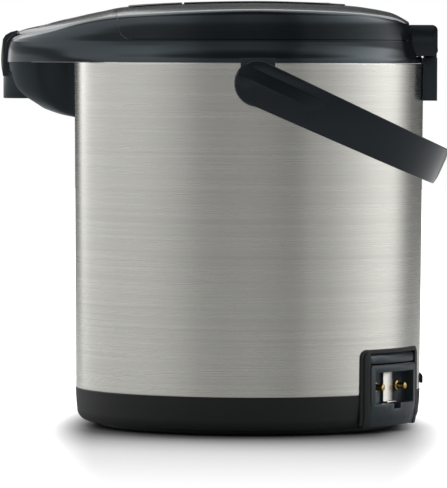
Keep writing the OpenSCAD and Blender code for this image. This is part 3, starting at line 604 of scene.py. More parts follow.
def soften(piece: Piece, width: float, segments: int = 2, angle: float = 35, smooth: float = 40) -> None:
    """Breaks a piece's sharp edges and smooths its shading.

    Args:
        piece: The piece to finish.
        width: Width of the broken edge in millimetres.
        segments: Faces across the broken edge.
        angle: Edges sharper than this many degrees are broken.
        smooth: Edges flatter than this many degrees are shaded smooth.
    """
    if width:
        modify(
            piece, "BEVEL", width=width * MM, segments=segments, limit_method="ANGLE",
            angle_limit=math.radians(angle), use_clamp_overlap=True, miter_outer="MITER_ARC",
        )
    activate(piece)
    bpy.ops.object.shade_smooth_by_angle(angle=math.radians(smooth))


def leave_out_of_mirrors(*pieces: Piece) -> None:
    """Keeps pieces out of reflections, where they would darken the steel's bright edges."""
    for piece in pieces:
        piece.visible_glossy = False


# ---------------------------------------------------------------- curves


def mix(a: float, b: float, t: float) -> float:
    """Returns the value a share t of the way from a to b."""
    return a + (b - a) * t


def eased(t: float) -> float:
    """Returns a share from 0 to 1 that starts and ends gently."""
    u = min(max(t, 0.0), 1.0)
    return u * u * (3 - 2 * u)


def fair(stations: Sequence[Station], x: float) -> float:
    """Reads a smooth curve through a few stations.

    Args:
        stations: Places and values, with the places rising.
        x: The place to read.

    Returns:
        The curve's value there, held beyond its ends.
    """
    last = len(stations) - 1
    i = max((k for k in range(last) if stations[k][0] <= x), default=0)
    width = stations[i + 1][0] - stations[i][0]
    u = min(max((x - stations[i][0]) / width, 0.0), 1.0)

    def slope(k: int) -> float:
        """Returns the curve's slope at a station."""
        a, b = stations[max(k - 1, 0)], stations[min(k + 1, last)]
        return (b[1] - a[1]) / (b[0] - a[0])

    ends = (1 + 2 * u) * (1 - u) ** 2 * stations[i][1] + u * u * (3 - 2 * u) * stations[i + 1][1]
    return ends + width * u * (1 - u) * ((1 - u) * slope(i) - u * slope(i + 1))


@dataclass(frozen=True)
class CrownForm:
    """The form that cover, head and lid share, in millimetres.

    Attributes:
        radius: Radius over the steel body.
        nose_x: Distance from the body's axis to the tip.
        blend_angle: Angle round the body where the head's outline leaves the circle.
        middle: Height along the middle.
        crease: Height along the crease round the top.
        wall: Height to inset over the body and at the nose, up to the low shoulder.
        shoulder: Share of the way up to the crease to those insets.
        spine: Ends of the line that the top closes on.
        arc_share: Share of the outline's walk that the circle takes.
        pulls: How far the head's outline runs on from the circle, and its half width at the tip.
        head_run: Where the head's insets begin, and the length over which they ease in.
    """

    radius: float = 110.8
    nose_x: float = 153.8
    blend_angle: float = 125.0
    middle: tuple[Station, ...] = (
        (-147.0, 248.9), (-141, 251), (-130.8, 253.3), (-108, 258.9), (-91.5, 262.5), (-80, 264.9),
        (-61, 266.4), (-30, 267.7), (8, 268.3), (38, 267.7), (53, 267), (68.3, 265.8), (75.9, 264.7),
        (83.5, 263.4), (91.1, 261.5), (98.7, 257.6), (102, 255.4),
    )
    crease: tuple[Station, ...] = (
        (-147.0, 247), (-126, 249.9), (-107, 254.6), (-91, 257.6), (-76, 259.2), (-38, 261.2),
        (0, 262.3), (30, 262), (60, 261), (80, 259.6), (92, 257.9), (102, 255.4),
    )
    wall: tuple[Point, ...] = (
        (230, 0, 0), (232.5, 0.7, 0.1), (235.5, 2.1, 0.3), (239, 3.4, 0.8), (243, 4.2, 1.8)
    )
    shoulder: tuple[Point, ...] = (
        (0, 4.2, 1.8), (0.4, 5, 2.8), (0.75, 6, 4.4), (0.93, 7.2, 5.9), (1, 8.8, 7.2)
    )
    spine: Station = (-128, 76)
    arc_share: float = 0.56
    pulls: Station = (50, 36)
    head_run: Station = (-70, 70)

    def edge(self, share: float) -> tuple[Vector, Vector]:
        """Walks the outline from the rear to the tip on the +Y side.

        Args:
            share: From 0 at the rear to 1 at the tip.

        Returns:
            The place and its outward normal, in the plane.
        """
        if share <= self.arc_share:
            angle = math.radians(self.blend_angle * share / self.arc_share)
            out = Vector((math.cos(angle), math.sin(angle)))
            return out * self.radius, out
        t = (share - self.arc_share) / (1 - self.arc_share)
        turn = math.radians(self.blend_angle)
        start = self.radius * Vector((math.cos(turn), math.sin(turn)))
        leave = start + self.pulls[0] * Vector((-math.sin(turn), math.cos(turn)))
        knots = [start, leave, Vector((-self.nose_x, self.pulls[1])), Vector((-self.nose_x, 0))]
        spot = (1 - t) ** 3 * knots[0] + 3 * (1 - t) ** 2 * t * knots[1] + 3 * (1 - t) * t * t * knots[2]
        spot += t**3 * knots[3]
        way = (1 - t) ** 2 * (knots[1] - knots[0]) + 2 * (1 - t) * t * (knots[2] - knots[1])
        way += t * t * (knots[3] - knots[2])
        return spot, Vector((way.y, -way.x)).normalized()

    def inset_edge(self, share: float, body: float, nose: float) -> Vector:
        """Returns the outline's place moved inwards by one amount over the body and another at the nose."""
        spot, out = self.edge(share)
        return spot - mix(body, nose, eased((self.head_run[0] - spot.x) / self.head_run[1])) * out

    def crease_width(self, x: float) -> float:
        """Returns half the top's width at a place along the pot."""
        return max(self.inset_edge(fair(self.crease_shares, x), *self.shoulder[-1][1:]).y, 0.5)

    @cached_property
    def crease_shares(self) -> list[Station]:
        """Stations from place along the pot to share along the outline."""
        shares = [i / 120 for i in range(120, -1, -1)]
        return [(self.inset_edge(share, *self.shoulder[-1][1:]).x, share) for share in shares]

    def top(self, x: float, y: float) -> float:
        """Gives the height of the crown's top at a place.

        Args:
            x: Place along the pot, in millimetres.
            y: Place across it.

        Returns:
            The height in millimetres.
        """
        across = min(1.0, abs(y) / self.crease_width(x))
        mid, side = fair(self.middle, x), fair(self.crease, x)
        return mid - (mid - side) * across * across

    def point(self, share: float, level: float) -> Point:
        """Gives a point of the surface on the +Y side.

        Args:
            share: From 0 at the rear to 1 at the tip.
            level: 0 to 1 up the wall, 1 to 2 round the shoulder, 2 to 3 over the top.

        Returns:
            The point in millimetres.
        """
        if level <= 1:
            z = mix(self.wall[0][0], self.wall[-1][0], level)
            spot = self.inset_edge(share, *(fair([(w[0], w[k]) for w in self.wall], z) for k in (1, 2)))
            return spot.x, spot.y, z
        if level <= 2:
            rise = level - 1
            spot = self.inset_edge(share, *(fair([(s[0], s[k]) for s in self.shoulder], rise) for k in (1, 2)))
            return spot.x, spot.y, mix(self.wall[-1][0], fair(self.crease, spot.x), rise)
        rim = self.inset_edge(share, *self.shoulder[-1][1:])
        closing = level - 2
        x = mix(rim.x, min(max(rim.x, self.spine[0]), self.spine[1]), closing)
        y = rim.y * (1 - closing)
        return x, y, self.top(x, y)

    def solid(self, name: str, columns: int = 220, rows: int = 60) -> Piece:
        """Models the closed crown.

        Args:
            name: The piece's name.
            columns: Cells round the outline, an even number.
            rows: Cells from the underside to the top.

        Returns:
            The closed solid.
        """

        def place(u: float, v: float) -> Point:
            """Gives a point of the crown.

            Args:
                u: Share of the way round, from the rear and back to it.
                v: Share of the way from the underside to the top.

            Returns:
                The point in millimetres.
            """
            side = 1 if u <= 0.5 else -1
            x, y, z = self.point(min(2 * u, 2 - 2 * u), 3 * v)
            return x, side * y, z

        piece = grid_form(name, columns, rows, place)
        cap_open_ends(piece)
        return piece

    def plan(self, inset: float, steps: int = 90) -> list[Station]:
        """Returns the outline at the body's top edge moved inwards, as a closed loop."""
        half = [self.inset_edge(i / steps, inset, inset) for i in range(steps + 1)]
        return [(p.x, p.y) for p in half] + [(p.x, -p.y) for p in half[-2:0:-1]]

    def skin(
        self, name: str, stations: Sequence[Station], lift: float, depth: float, steps: int = 24
    ) -> Piece:
        """Models a plate that follows the top.

        Args:
            name: The piece's name.
            stations: Places along the pot with half the plate's width there, from the nose to the rear.
            lift: How far the plate stands above the crown.
            depth: How far it reaches below the crown's surface.
            steps: Cells across the plate.

        Returns:
            The closed plate.
        """
        columns, last = 2 * steps + 2, len(stations) + 1

        def place(u: float, v: float) -> Point:
            """Gives a point of the plate, whose ends close on a line.

            Args:
                u: Share of the way round its section.
                v: Share of the way along it.

            Returns:
                The point in millimetres.
            """
            row, i = round(v * last), round(u * columns) % columns
            x, half = stations[min(max(row - 1, 0), last - 2)]
            y = half * (2 * i / steps - 1) if i <= steps else half * (1 - 2 * (i - steps - 1) / steps)
            rise = (lift - depth) / 2 if row in (0, last) else lift if i <= steps else -depth
            return x, y, self.top(x, y) + rise

        return grid_form(name, columns, last, place)


CROWN = CrownForm()


@dataclass(frozen=True)
class LidSeam:
    """The seam round the lid: level along the sides, rising in a leaning line at the front.

    Attributes:
        front: Distance of the lid's lower front edge from the body's axis.
        level: Height of the seam along the sides.
        corner: Radius of the turn between them.
        lean: Forward lean of the front line in degrees.
        gap: Width of the seam.
        lip: How far the cover's inner lip stands in.
        lip_half: Half the width of that lip, which ends lip_end in front of the body's axis.
    """

    front: float = 80.6
    level: float = 244.2
    corner: float = 7.0
    lean: float = 12.5
    gap: float = 0.35
    lip: float = 1.0
    lip_half: float = 48.0
    lip_end: float = 60.0

    def prism(self, clearance: float) -> Piece:
        """Models the space above the seam.

        Args:
            clearance: How far it shrinks, in millimetres.

        Returns:
            The closed solid, which reaches past the pot.
        """
        centre = (self.corner - self.front, self.level + self.corner)
        radius, turn = self.corner - clearance, math.radians(self.lean)
        curve = arc(centre, radius, 270, 180 + self.lean, 14)
        rise = (curve[-1][0] - 60 * math.sin(turn), curve[-1][1] + 60 * math.cos(turn))
        return slab([*curve, rise, (300, 320), (300, centre[1] - radius)], -250, 250, across=True)

    def zone(self, clearance: float) -> Piece:
        """Models the lid's space without the cover's inner lip.

        Args:
            clearance: How far it shrinks, in millimetres.

        Returns:
            The closed solid.
        """
        half = self.lip_half + clearance
        lip = block((-300, -half, 200), (clearance - self.lip_end, half, 260 + clearance))
        cut(lip, self.prism(self.lip + clearance))
        space = self.prism(clearance)
        cut(space, lip)
        return space


SEAM = LidSeam()


def cap_open_ends(piece: Piece) -> None:
    """Closes each open end of a piece with one face and turns all faces outwards.

    Args:
        piece: The piece to close.
    """
    edit_all(
        piece,
        lambda: bpy.ops.mesh.select_all(action="DESELECT"),
        lambda: bpy.ops.mesh.select_mode(type="EDGE"),
        lambda: bpy.ops.mesh.select_non_manifold(extend=False, use_boundary=True),
        lambda: bpy.ops.mesh.fill(use_beauty=True),
        face_out,
        lambda: bpy.ops.mesh.select_mode(type="VERT"),
    )


# ---------------------------------------------------------------- sub-assemblies


@dataclass
class SubAssembly:
    """A group of pieces that are made and dressed together.

    Attributes:
        title: Name for the report.
        body: The body that new pieces ride on.
        nodes: Finishes with the CAD nodes that keep their own mesh.
        trimmed: CAD nodes that get broken edges, with finish and edge width in millimetres.
    """

    title: str
    body: str
    nodes: Kept = ()
    trimmed: Trimmed = ()

    def dress(self, piece: Piece, surface: Surface, *nodes: str, body: str | None = None) -> None:
        """Gives a new piece its finish and body, and hides the CAD nodes that it stands for.

        Args:
            piece: The finished piece.
            surface: Its finish.
            nodes: CAD nodes that it stands for.
            body: The body it rides on, or None for the sub-assembly's own.
        """
        piece.data.materials.clear()
        piece.data.materials.append(surface.material)
        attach(piece, body or self.body)
        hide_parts(*nodes)
        LOG.info("%s: %s, %s faces, %s", self.title, piece.name, len(piece.data.polygons), surface.value.title)

    def dress_nodes(self) -> None:
        """Finishes the CAD nodes that keep their shape or only get broken edges."""
        for surface, names in self.nodes:
            for name in names:
                materials = frame["nodes"][name].data.materials
                materials.clear()
                materials.append(surface.material)
                LOG.info("%s: %s, %s", self.title, name, surface.value.title)
        for node, surface, width in self.trimmed:
            piece = merged_copy(node)
            soften(piece, width)
            owner = next(b for b, members in frame["record"]["behaviour"]["bodies"].items() if node in members)
            self.dress(piece, surface, node, body=owner)

    def build(self) -> None:
        """Makes and dresses every piece of the group."""
        self.dress_nodes()


@dataclass
class Inside(SubAssembly):
    """Tank, heater, pump, pipes and boards."""

    title: str = "inside"
    body: str = "pot"
    nodes: Kept = (
        (Surface.INNER_STEEL, ("inner_tank", "tank_floor")),
        (Surface.FELT, ("insulation_jacket",)),
        (Surface.HEATER_MICA, ("heater_plate",)),
        (Surface.WHITE_PLASTIC, ("thermostat", "pump_housing", "impeller", "outlet_pipe")),
        (Surface.SILICONE, ("tank_drain_hose", "pump_outlet_hose")),
        (Surface.MOTOR_CAN, ("pump_motor",)),
        (Surface.BOARD, ("power_board", "control_board")),
        (Surface.GAUGE, ("gauge_tube",)),
        (Surface.RED_PLASTIC, ("gauge_float",)),
    )


@dataclass
class Body(SubAssembly):
    """Steel shell, base skirt and gauge window.

    Attributes:
        inlet_angle: Angle round the body from the rear to the power inlet, in degrees.
        window_w: Width of the inlet's window.
        shell_z: Heights of the steel's lower and upper edge.
        shell_r: The steel's radii there.
        wall: The steel's thickness.
        roll: Radius of its rolled edges.
        loops: Radii and heights of loops that keep the shading of the tall faces level.
        skirt_z: Heights of the base ring's foot, its floor and its top.
    """

    title: str = "body"
    body: str = "pot"
    trimmed: Trimmed = (
        ("gauge_window", Surface.GAUGE, 0.2), ("rear_stop", Surface.MATTE_BLACK, 0.6),
        ("bottom_plate", Surface.MATTE_BLACK, 0.3), ("bottom_screws", Surface.PIN_STEEL, 0.1),
    )
    inlet_angle: float = -32.5
    window_w: float = 60.4
    shell_z: Station = (24.5, 229.9)
    shell_r: Station = (109.0, 110.5)
    wall: float = 0.8
    roll: float = 0.35
    loops: tuple[Station, ...] = ((109.37, 76), (109.75, 127.2), (110.12, 178.5))
    skirt_z: Point = (3.5, 7.1, 24.4)

    def inlet_block(self, start: float, low: float, high: float) -> Piece:
        """Models the cutter for the power inlet's window.

        Args:
            start: Its distance from the body's axis, in millimetres.
            low: Its lower height.
            high: Its upper height.

        Returns:
            The cutter.
        """
        tool = block((start, -self.window_w / 2, low), (start + 30, self.window_w / 2, high))
        put(tool, -self.inlet_angle, "Z")
        return tool

    def shell(self) -> None:
        """Models the steel shell with rolled edges, its inlet window and its gauge slot."""
        (low, high), (foot, rim), wall, roll = self.shell_z, self.shell_r, self.wall, self.roll
        profile = [
            (foot - wall, low), (foot - roll, low), (foot - 0.1, low + 0.1), (foot, low + roll), (foot, low + 1),
            *self.loops, (rim, high - 1), (rim, high - roll), (rim - 0.1, high - 0.1), (rim - roll, high),
            (rim - wall, high),
        ]
        shell = turned_form("steel_shell", profile)
        cut(shell, self.inlet_block(90, 20, 50.2), block((-116, -6, 58), (-100, 6, 186)))
        soften(shell, 0)
        self.dress(shell, Surface.SHELL_STEEL, "outer_shell")

    def skirt(self) -> None:
        """Models the base ring with its rolled lower edge."""
        foot, floor, top = self.skirt_z
        profile = [
            (96.0, foot), *arc((100.9, 10.8), 7.3, -90, 0, 12), (108.7, 15), (109.0, 19), (109.2, top - 0.3),
            (108.9, top), (105.6, top), (105.6, floor), (96.0, floor),
        ]
        skirt = turned_form("base_ring", profile)
        cut(skirt, self.inlet_block(90, -1, 40))
        soften(skirt, 0)
        self.dress(skirt, Surface.MATTE_BLACK, "base_skirt")

    def build(self) -> None:
        """Makes and dresses the body's pieces."""
        self.dress_nodes()
        self.shell()
        self.skirt()


NOSE_CORE = (
    (-147.2, 248.2), (-149.6, 247.1), (-155, 243.4), (-155.6, 239), (-155.6, 231.5), (-154, 222), (-147, 221),
    (-147, 243), (-143, 246.4),
)


def nose_core(clearance: float) -> Piece:
    """Models the foot of the nose trim, or its seat in the head.

    Args:
        clearance: How far it grows towards the head, in millimetres.

    Returns:
        The closed solid.
    """
    c = clearance
    outline = [(x + c * (i in (6, 7)), z + c * (i in (0, 1))) for i, (x, z) in enumerate(NOSE_CORE)]
    return slab(outline, -10 - c, 10 + c, across=True)


@dataclass
class Head(SubAssembly):
    """Cover, spout head, key panel and keys.

    Attributes:
        keys: Place of each key along and across the pot, and its radius.
        panel_x: Places of the key panel's ends.
        display_x: Places of the display window's ends.
        display_half: Half the display window's width.
        riser_x: Distance of the riser pipe from the body's axis.
        outlet_x: Distance of the outlet from it.
        front: Heights of the spout's underside with the place of its front.
        width: Heights with half the spout's greatest width.
        rear: Place of the spout's rear face.
        neck_x: Place where its neck ends.
        band_out: Corners of the nose trim's outer side.
        band_in: Corners of its inner side.
    """

    title: str = "head"
    body: str = "pot"
    trimmed: Trimmed = tuple(
        ("key_" + name, Surface.KEY_PLASTIC, 0.4) for name in ("dispense", "unlock", "reboil", "timer", "select")
    )
    keys: tuple[Point, ...] = (
        (-119.5, 0, 8), (-129, 12.5, 4.2), (-129, -12.5, 4.2), (-111.5, 14.5, 4.2), (-111.5, -14.5, 4.2)
    )
    panel_x: Station = (-146.2, -84.9)
    display_x: Station = (-104, -93.5)
    display_half: float = 22.0
    riser_x: float = 96.5
    outlet_x: float = 142.6
    front: tuple[Station, ...] = (
        (195.2, -110.6), (196.6, -118), (199.1, -125.9), (203.5, -136.4), (207.5, -144), (213, -149.3),
        (221, -152), (230, -153.2),
    )
    width: tuple[Station, ...] = ((195.2, 8), (197, 10.5), (200, 14), (205, 19), (212, 24), (221, 28), (230, 31))
    rear: float = -104.0
    neck_x: float = -109.5
    band_out: tuple[Station, ...] = (
        (-146.6, 249.9), (-150.6, 248.8), (-153.8, 246.9), (-155.5, 244.2), (-156.6, 236.8), (-157.1, 231.7),
        (-156.5, 226.5), (-155.3, 221),
    )
    band_in: tuple[Station, ...] = (
        (-150, 221), (-153, 223.8), (-154, 231.5), (-153.7, 239), (-152.6, 243.4), (-149.6, 246.9), (-147.2, 248)
    )

    def panel_stations(self, clearance: float, steps: int = 48) -> list[Station]:
        """Returns the key panel's stations, whose nose end draws in.

        Args:
            clearance: How far the outline grows, in millimetres.
            steps: Number of steps along the panel.

        Returns:
            Places along the pot with half the panel's width there.
        """
        ends = {0: -clearance, steps: clearance}
        places = [mix(*self.panel_x, i / steps) for i in range(steps + 1)]
        return [
            (x + ends.get(i, 0), CROWN.crease_width(x) - (1 + 2.2 * eased((-144.6 - x) / 1.6)) + clearance)
            for i, x in enumerate(places)
        ]

    def cover(self) -> None:
        """Models the cover round the lid together with the head's upper half, hollow above the body and the spout."""
        cover = CROWN.solid("cover")
        deck = bore(239, 6.4, 102.4)
        cut(deck, block((-FAR, -FAR, 230), (-80, FAR, 260)))
        head_low = slab(CROWN.plan(5.5), 232, 244)
        cut(head_low, block((-87.2, -FAR, 220), (FAR, FAR, 260)))
        head_high = slab(CROWN.plan(14), 243, 280)
        combine(head_high, "INTERSECT", block((-142, -FAR, 230), (-91.2, FAR, 300)))
        hinge_room = block((99.4, -28.5, 234.1), (129.4, 28.5, 254.1))
        cut(hinge_room, block((99, -10, 233), (109, 10, 235.5)))
        cut(
            cover, nose_core(0.1), SEAM.zone(0), deck, bore(229, 7, 107.4), bore(229, 20, 85.5),
            head_low, head_high, CROWN.skin("panel_seat", self.panel_stations(0.15), 5, 2.3),
            rod((-self.riser_x, 0, 225), 12, 6), rod((-self.outlet_x, 0, 225), 12, 6), hinge_room,
            block((-84, -9, 248), (-79, 9, 254.4)),
        )
        soften(cover, 0, smooth=MOULDED)
        leave_out_of_mirrors(cover)
        self.dress(cover, Surface.GLOSS_BLACK, "upper_cover")

    def key_hole(self, key: Point) -> Piece:
        """Models the cutter for a key's hole, square to the panel.

        Args:
            key: The key's place along and across the pot, and its radius.

        Returns:
            The cutter.
        """
        x, y, radius = key
        tilt_x = math.atan((CROWN.top(x + 2, y) - CROWN.top(x - 2, y)) / 4)
        tilt_y = math.atan((CROWN.top(x, y + 2) - CROWN.top(x, y - 2)) / 4)
        turn = Euler((tilt_y, -tilt_x, 0))
        start = Vector((x, y, CROWN.top(x, y))) + turn.to_matrix() @ Vector((0, 0, -6))
        return rod(start, 12, radius + 0.25, [math.degrees(a) for a in turn], sides=64)

    def panel(self) -> None:
        """Models the key panel and its display window."""
        panel = CROWN.skin("key_panel", self.panel_stations(0), 0.05, 2.2, 32)
        display = [(mix(*self.display_x, i / 6), self.display_half) for i in range(7)]
        seat = [(x + (-0.15 if i == 0 else 0.15 if i == 6 else 0), w + 0.15) for i, (x, w) in enumerate(display)]
        cut(panel, CROWN.skin("display_seat", seat, 3, 4), *map(self.key_hole, self.keys))
        soften(panel, 0, smooth=MOULDED)
        self.dress(panel, Surface.PANEL_GLOSS, "control_panel")
        window = CROWN.skin("display_glass", display, 0.1, 1.4)
        soften(window, 0.15, segments=1)
        self.dress(window, Surface.WINDOW, "display_window")

    def spout(self) -> None:
        """Models the lower half of the head, which runs down the steel to a narrow tail."""
        rows, half_columns, low, high = 46, 40, self.front[0][0], 229.95

        def place(u: float, v: float) -> Point:
            """Gives a point of the spout, whose ends close on the middle plane.

            Args:
                u: Share of the way round it.
                v: Share of the way up it.

            Returns:
                The point in millimetres.
            """
            row = round(v * rows)
            z = mix(low, high, (min(max(row - 1, 0), rows - 2) / (rows - 2)) ** 1.3)
            side, share = (1, 2 * u) if u <= 0.5 else (-1, 2 - 2 * u)
            side *= 0 < row < rows
            tip, wide = fair(self.front, z), fair(self.width, z)
            neck = min(11, wide)
            if share < 0.05:
                return self.rear, side * neck * share / 0.05, z
            x = mix(self.rear, tip, ((share - 0.05) / 0.95) ** 0.85)
            if x > self.neck_x:
                return x, side * neck, z
            t = max(0.0, (x - self.neck_x) / (tip - self.neck_x)) ** 1.25
            return x, side * mix(neck, wide, eased(t * 1.7)) * (1 - t**3.2) ** 0.55, z

        spout = grid_form("spout_underside", 2 * half_columns, rows, place)
        cut(
            spout, nose_core(0.1), taper(190, 231, 110.21, 110.71, sides=256),
            rod((-self.outlet_x, 0, 190), 50, 6), rod((-self.outlet_x, 0, 190), 34.2, 13.1),
            block((-170, -12.6, 190), (-self.outlet_x, 12.6, 224.2)),
        )
        soften(spout, 0, smooth=MOULDED)
        leave_out_of_mirrors(spout)
        self.dress(spout, Surface.SATIN_BLACK, "spout_cover")

    def nose(self) -> None:
        """Models the trim over the tip with the nozzle's shroud."""
        trim = slab([*self.band_out, *self.band_in], -12.5, 12.5, across=True)
        combine(trim, "INTERSECT", bore(200, 60, 44.2, -112.9))
        soften(trim, 0.5, segments=3, angle=50)
        core = nose_core(0)
        cut(core, bore(190, 60, 146.6))
        shroud = rod((-self.outlet_x, 0, 207), 17, 13)
        soften(shroud, 0.7, segments=3)
        combine(trim, "UNION", core, shroud)
        cut(trim, rod((-self.outlet_x, 0, 200), 50, 5.7), rod((-self.outlet_x, 0, 200), 11, 10))
        soften(trim, 0)
        leave_out_of_mirrors(trim)
        self.dress(trim, Surface.SATIN_BLACK, "nose_band")

    def build(self) -> None:
        """Makes and dresses the head's pieces."""
        self.dress_nodes()
        leave_out_of_mirrors(frame["nodes"]["outlet_pipe"])
        self.cover()
        self.panel()
        self.spout()
        self.nose()


def grown(places: list[float], widths: Sequence[float], clearance: float) -> list[Station]:
    """Pairs a plate's places with its half widths, grown by a clearance."""
    places = [places[0] - clearance, *places[1:-1], places[-1] + clearance]
    return [(x, w + clearance) for x, w in zip(places, widths)]


@dataclass
class Lid(SubAssembly):
    """Lid, its inset plate, lever, latch, vent cap and hinge.

    Attributes:
        lever_axis: Place and height of the lever's pin.
        half: Half the width of the inset plate and the lever.
        vent_x: Place of the vent cap, where the inset plate's round end begins.
    """

    title: str = "lid"
    body: str = "lid"
    trimmed: Trimmed = (
        ("steam_vent_cap", Surface.SATIN_BLACK, 0.3), ("hinge_block", Surface.GLOSS_BLACK, 0.8),
        ("hinge_bracket", Surface.SATIN_BLACK, 0.8), ("lid_base", Surface.SATIN_BLACK, 0.4),
        ("inner_lid", Surface.INNER_STEEL, 0), ("lid_gasket", Surface.SILICONE, 0.3),
        ("latch_hook", Surface.MATTE_BLACK, 0.3),
    )
    nodes: Kept = ((Surface.PIN_STEEL, ("hinge_pin", "lever_pin")),)
    lever_axis: Station = (-43.8, 265.0)
    half: float = 30
    vent_x: float = 40

    def plate_stations(self, clearance: float) -> list[Station]:
        """Returns the inset plate's stations.

        Args:
            clearance: How far the outline grows, in millimetres.

        Returns:
            Places along the pot with half the plate's width there.
        """
        places = [-41 + 81 * i / 24 for i in range(25)]
        places += [self.vent_x + 20.5 * math.sin(math.pi * i / 40) for i in range(1, 21)]
        widths = [self.half * math.sqrt(1 - (max(x - self.vent_x, 0) / 22) ** 2) for x in places]
        return grown(places, widths, clearance)

    def lever_stations(self, clearance: float) -> list[Station]:
        """Returns the lever's stations.

        Args:
            clearance: How far the outline grows, in millimetres.

        Returns:
            Places along the pot with half the lever's width there.
        """
        places = [-76, -75.6, -75, -74.2, -73.2, -72, *(-70 + 27.4 * i / 12 for i in range(13))]
        rounds = [1 - math.sqrt(max(0.0, 1 - (max(-72 - x, 0) / 4) ** 2)) for x in places]
        return grown(places, [self.half - 4 * inset for inset in rounds], clearance)

    def across_rod(self, half: float, radius: float, middle: float = 0) -> Piece:
        """Adds a cylinder along y about the lever's axis."""
        x, z = self.lever_axis
        return rod((x, middle + half, z), 2 * half, radius, (90, 0, 0), sides=48)

    def scoop(self, lift: float) -> Piece:
        """Adds the ball that hollows out the finger scoop, raised by a lift in millimetres."""
        place, ball = (-77 * MM, 0, (298.8 + lift) * MM), bpy.ops.mesh.primitive_uv_sphere_add
        return fresh(ball, segments=128, ring_count=96, radius=36 * MM, location=place)

    def dome(self) -> None:
        """Models the lid's glossy outer shell."""
        lid = CROWN.solid("lid_dome")
        hollow = taper(240, 259.5, 102.2, 84)
        cut(hollow, block((-FAR, -FAR, 230), (-76.5, FAR, 280)))
        combine(lid, "INTERSECT", SEAM.zone(SEAM.gap))
        cut(
            lid, hollow, CROWN.skin("plate_seat", self.plate_stations(0.2), 4, 1.9),
            CROWN.skin("lever_seat", self.lever_stations(0.3), 4, 2.1), self.scoop(0), self.across_rod(30.4, 3.45),
            self.across_rod(33.4, 1.22), block((100.6, -28.1, 230), (130.6, 28.1, 270)),
            rod((self.vent_x, 0, 255), 20, 8), block((-90, -7.2, 248.6), (-76, 7.2, 253.4)),
        )
        soften(lid, 0, smooth=MOULDED)
        self.dress(lid, Surface.GLOSS_BLACK, "lid_shell")

    def plate(self) -> None:
        """Models the inset top plate."""
        plate = CROWN.skin("inset_plate", self.plate_stations(0), 0.8, 1.7)
        soften(plate, 0.3, angle=50)
        cut(plate, rod((self.vent_x, 0, 250), 30, 11.2))
        soften(plate, 0, smooth=MOULDED)
        self.dress(plate, Surface.GLOSS_BLACK, "top_plate")

    def lever(self) -> None:
        """Models the release lever with its two knuckles."""
        lever = CROWN.skin("release_lever", self.lever_stations(0), 0.8, 1.7)
        soften(lever, 0.3, angle=50)
        combine(lever, "UNION", self.across_rod(7, 2.3, -15), self.across_rod(7, 2.3, 15))
        cut(lever, self.across_rod(40, 1.25), self.scoop(0.8))
        soften(lever, 0, smooth=MOULDED)
        self.dress(lever, Surface.GLOSS_BLACK, "lid_lever", body="lever")

    def build(self) -> None:
        """Makes and dresses the lid's pieces."""
        self.dress_nodes()
        self.dome()
        self.plate()
        self.lever()


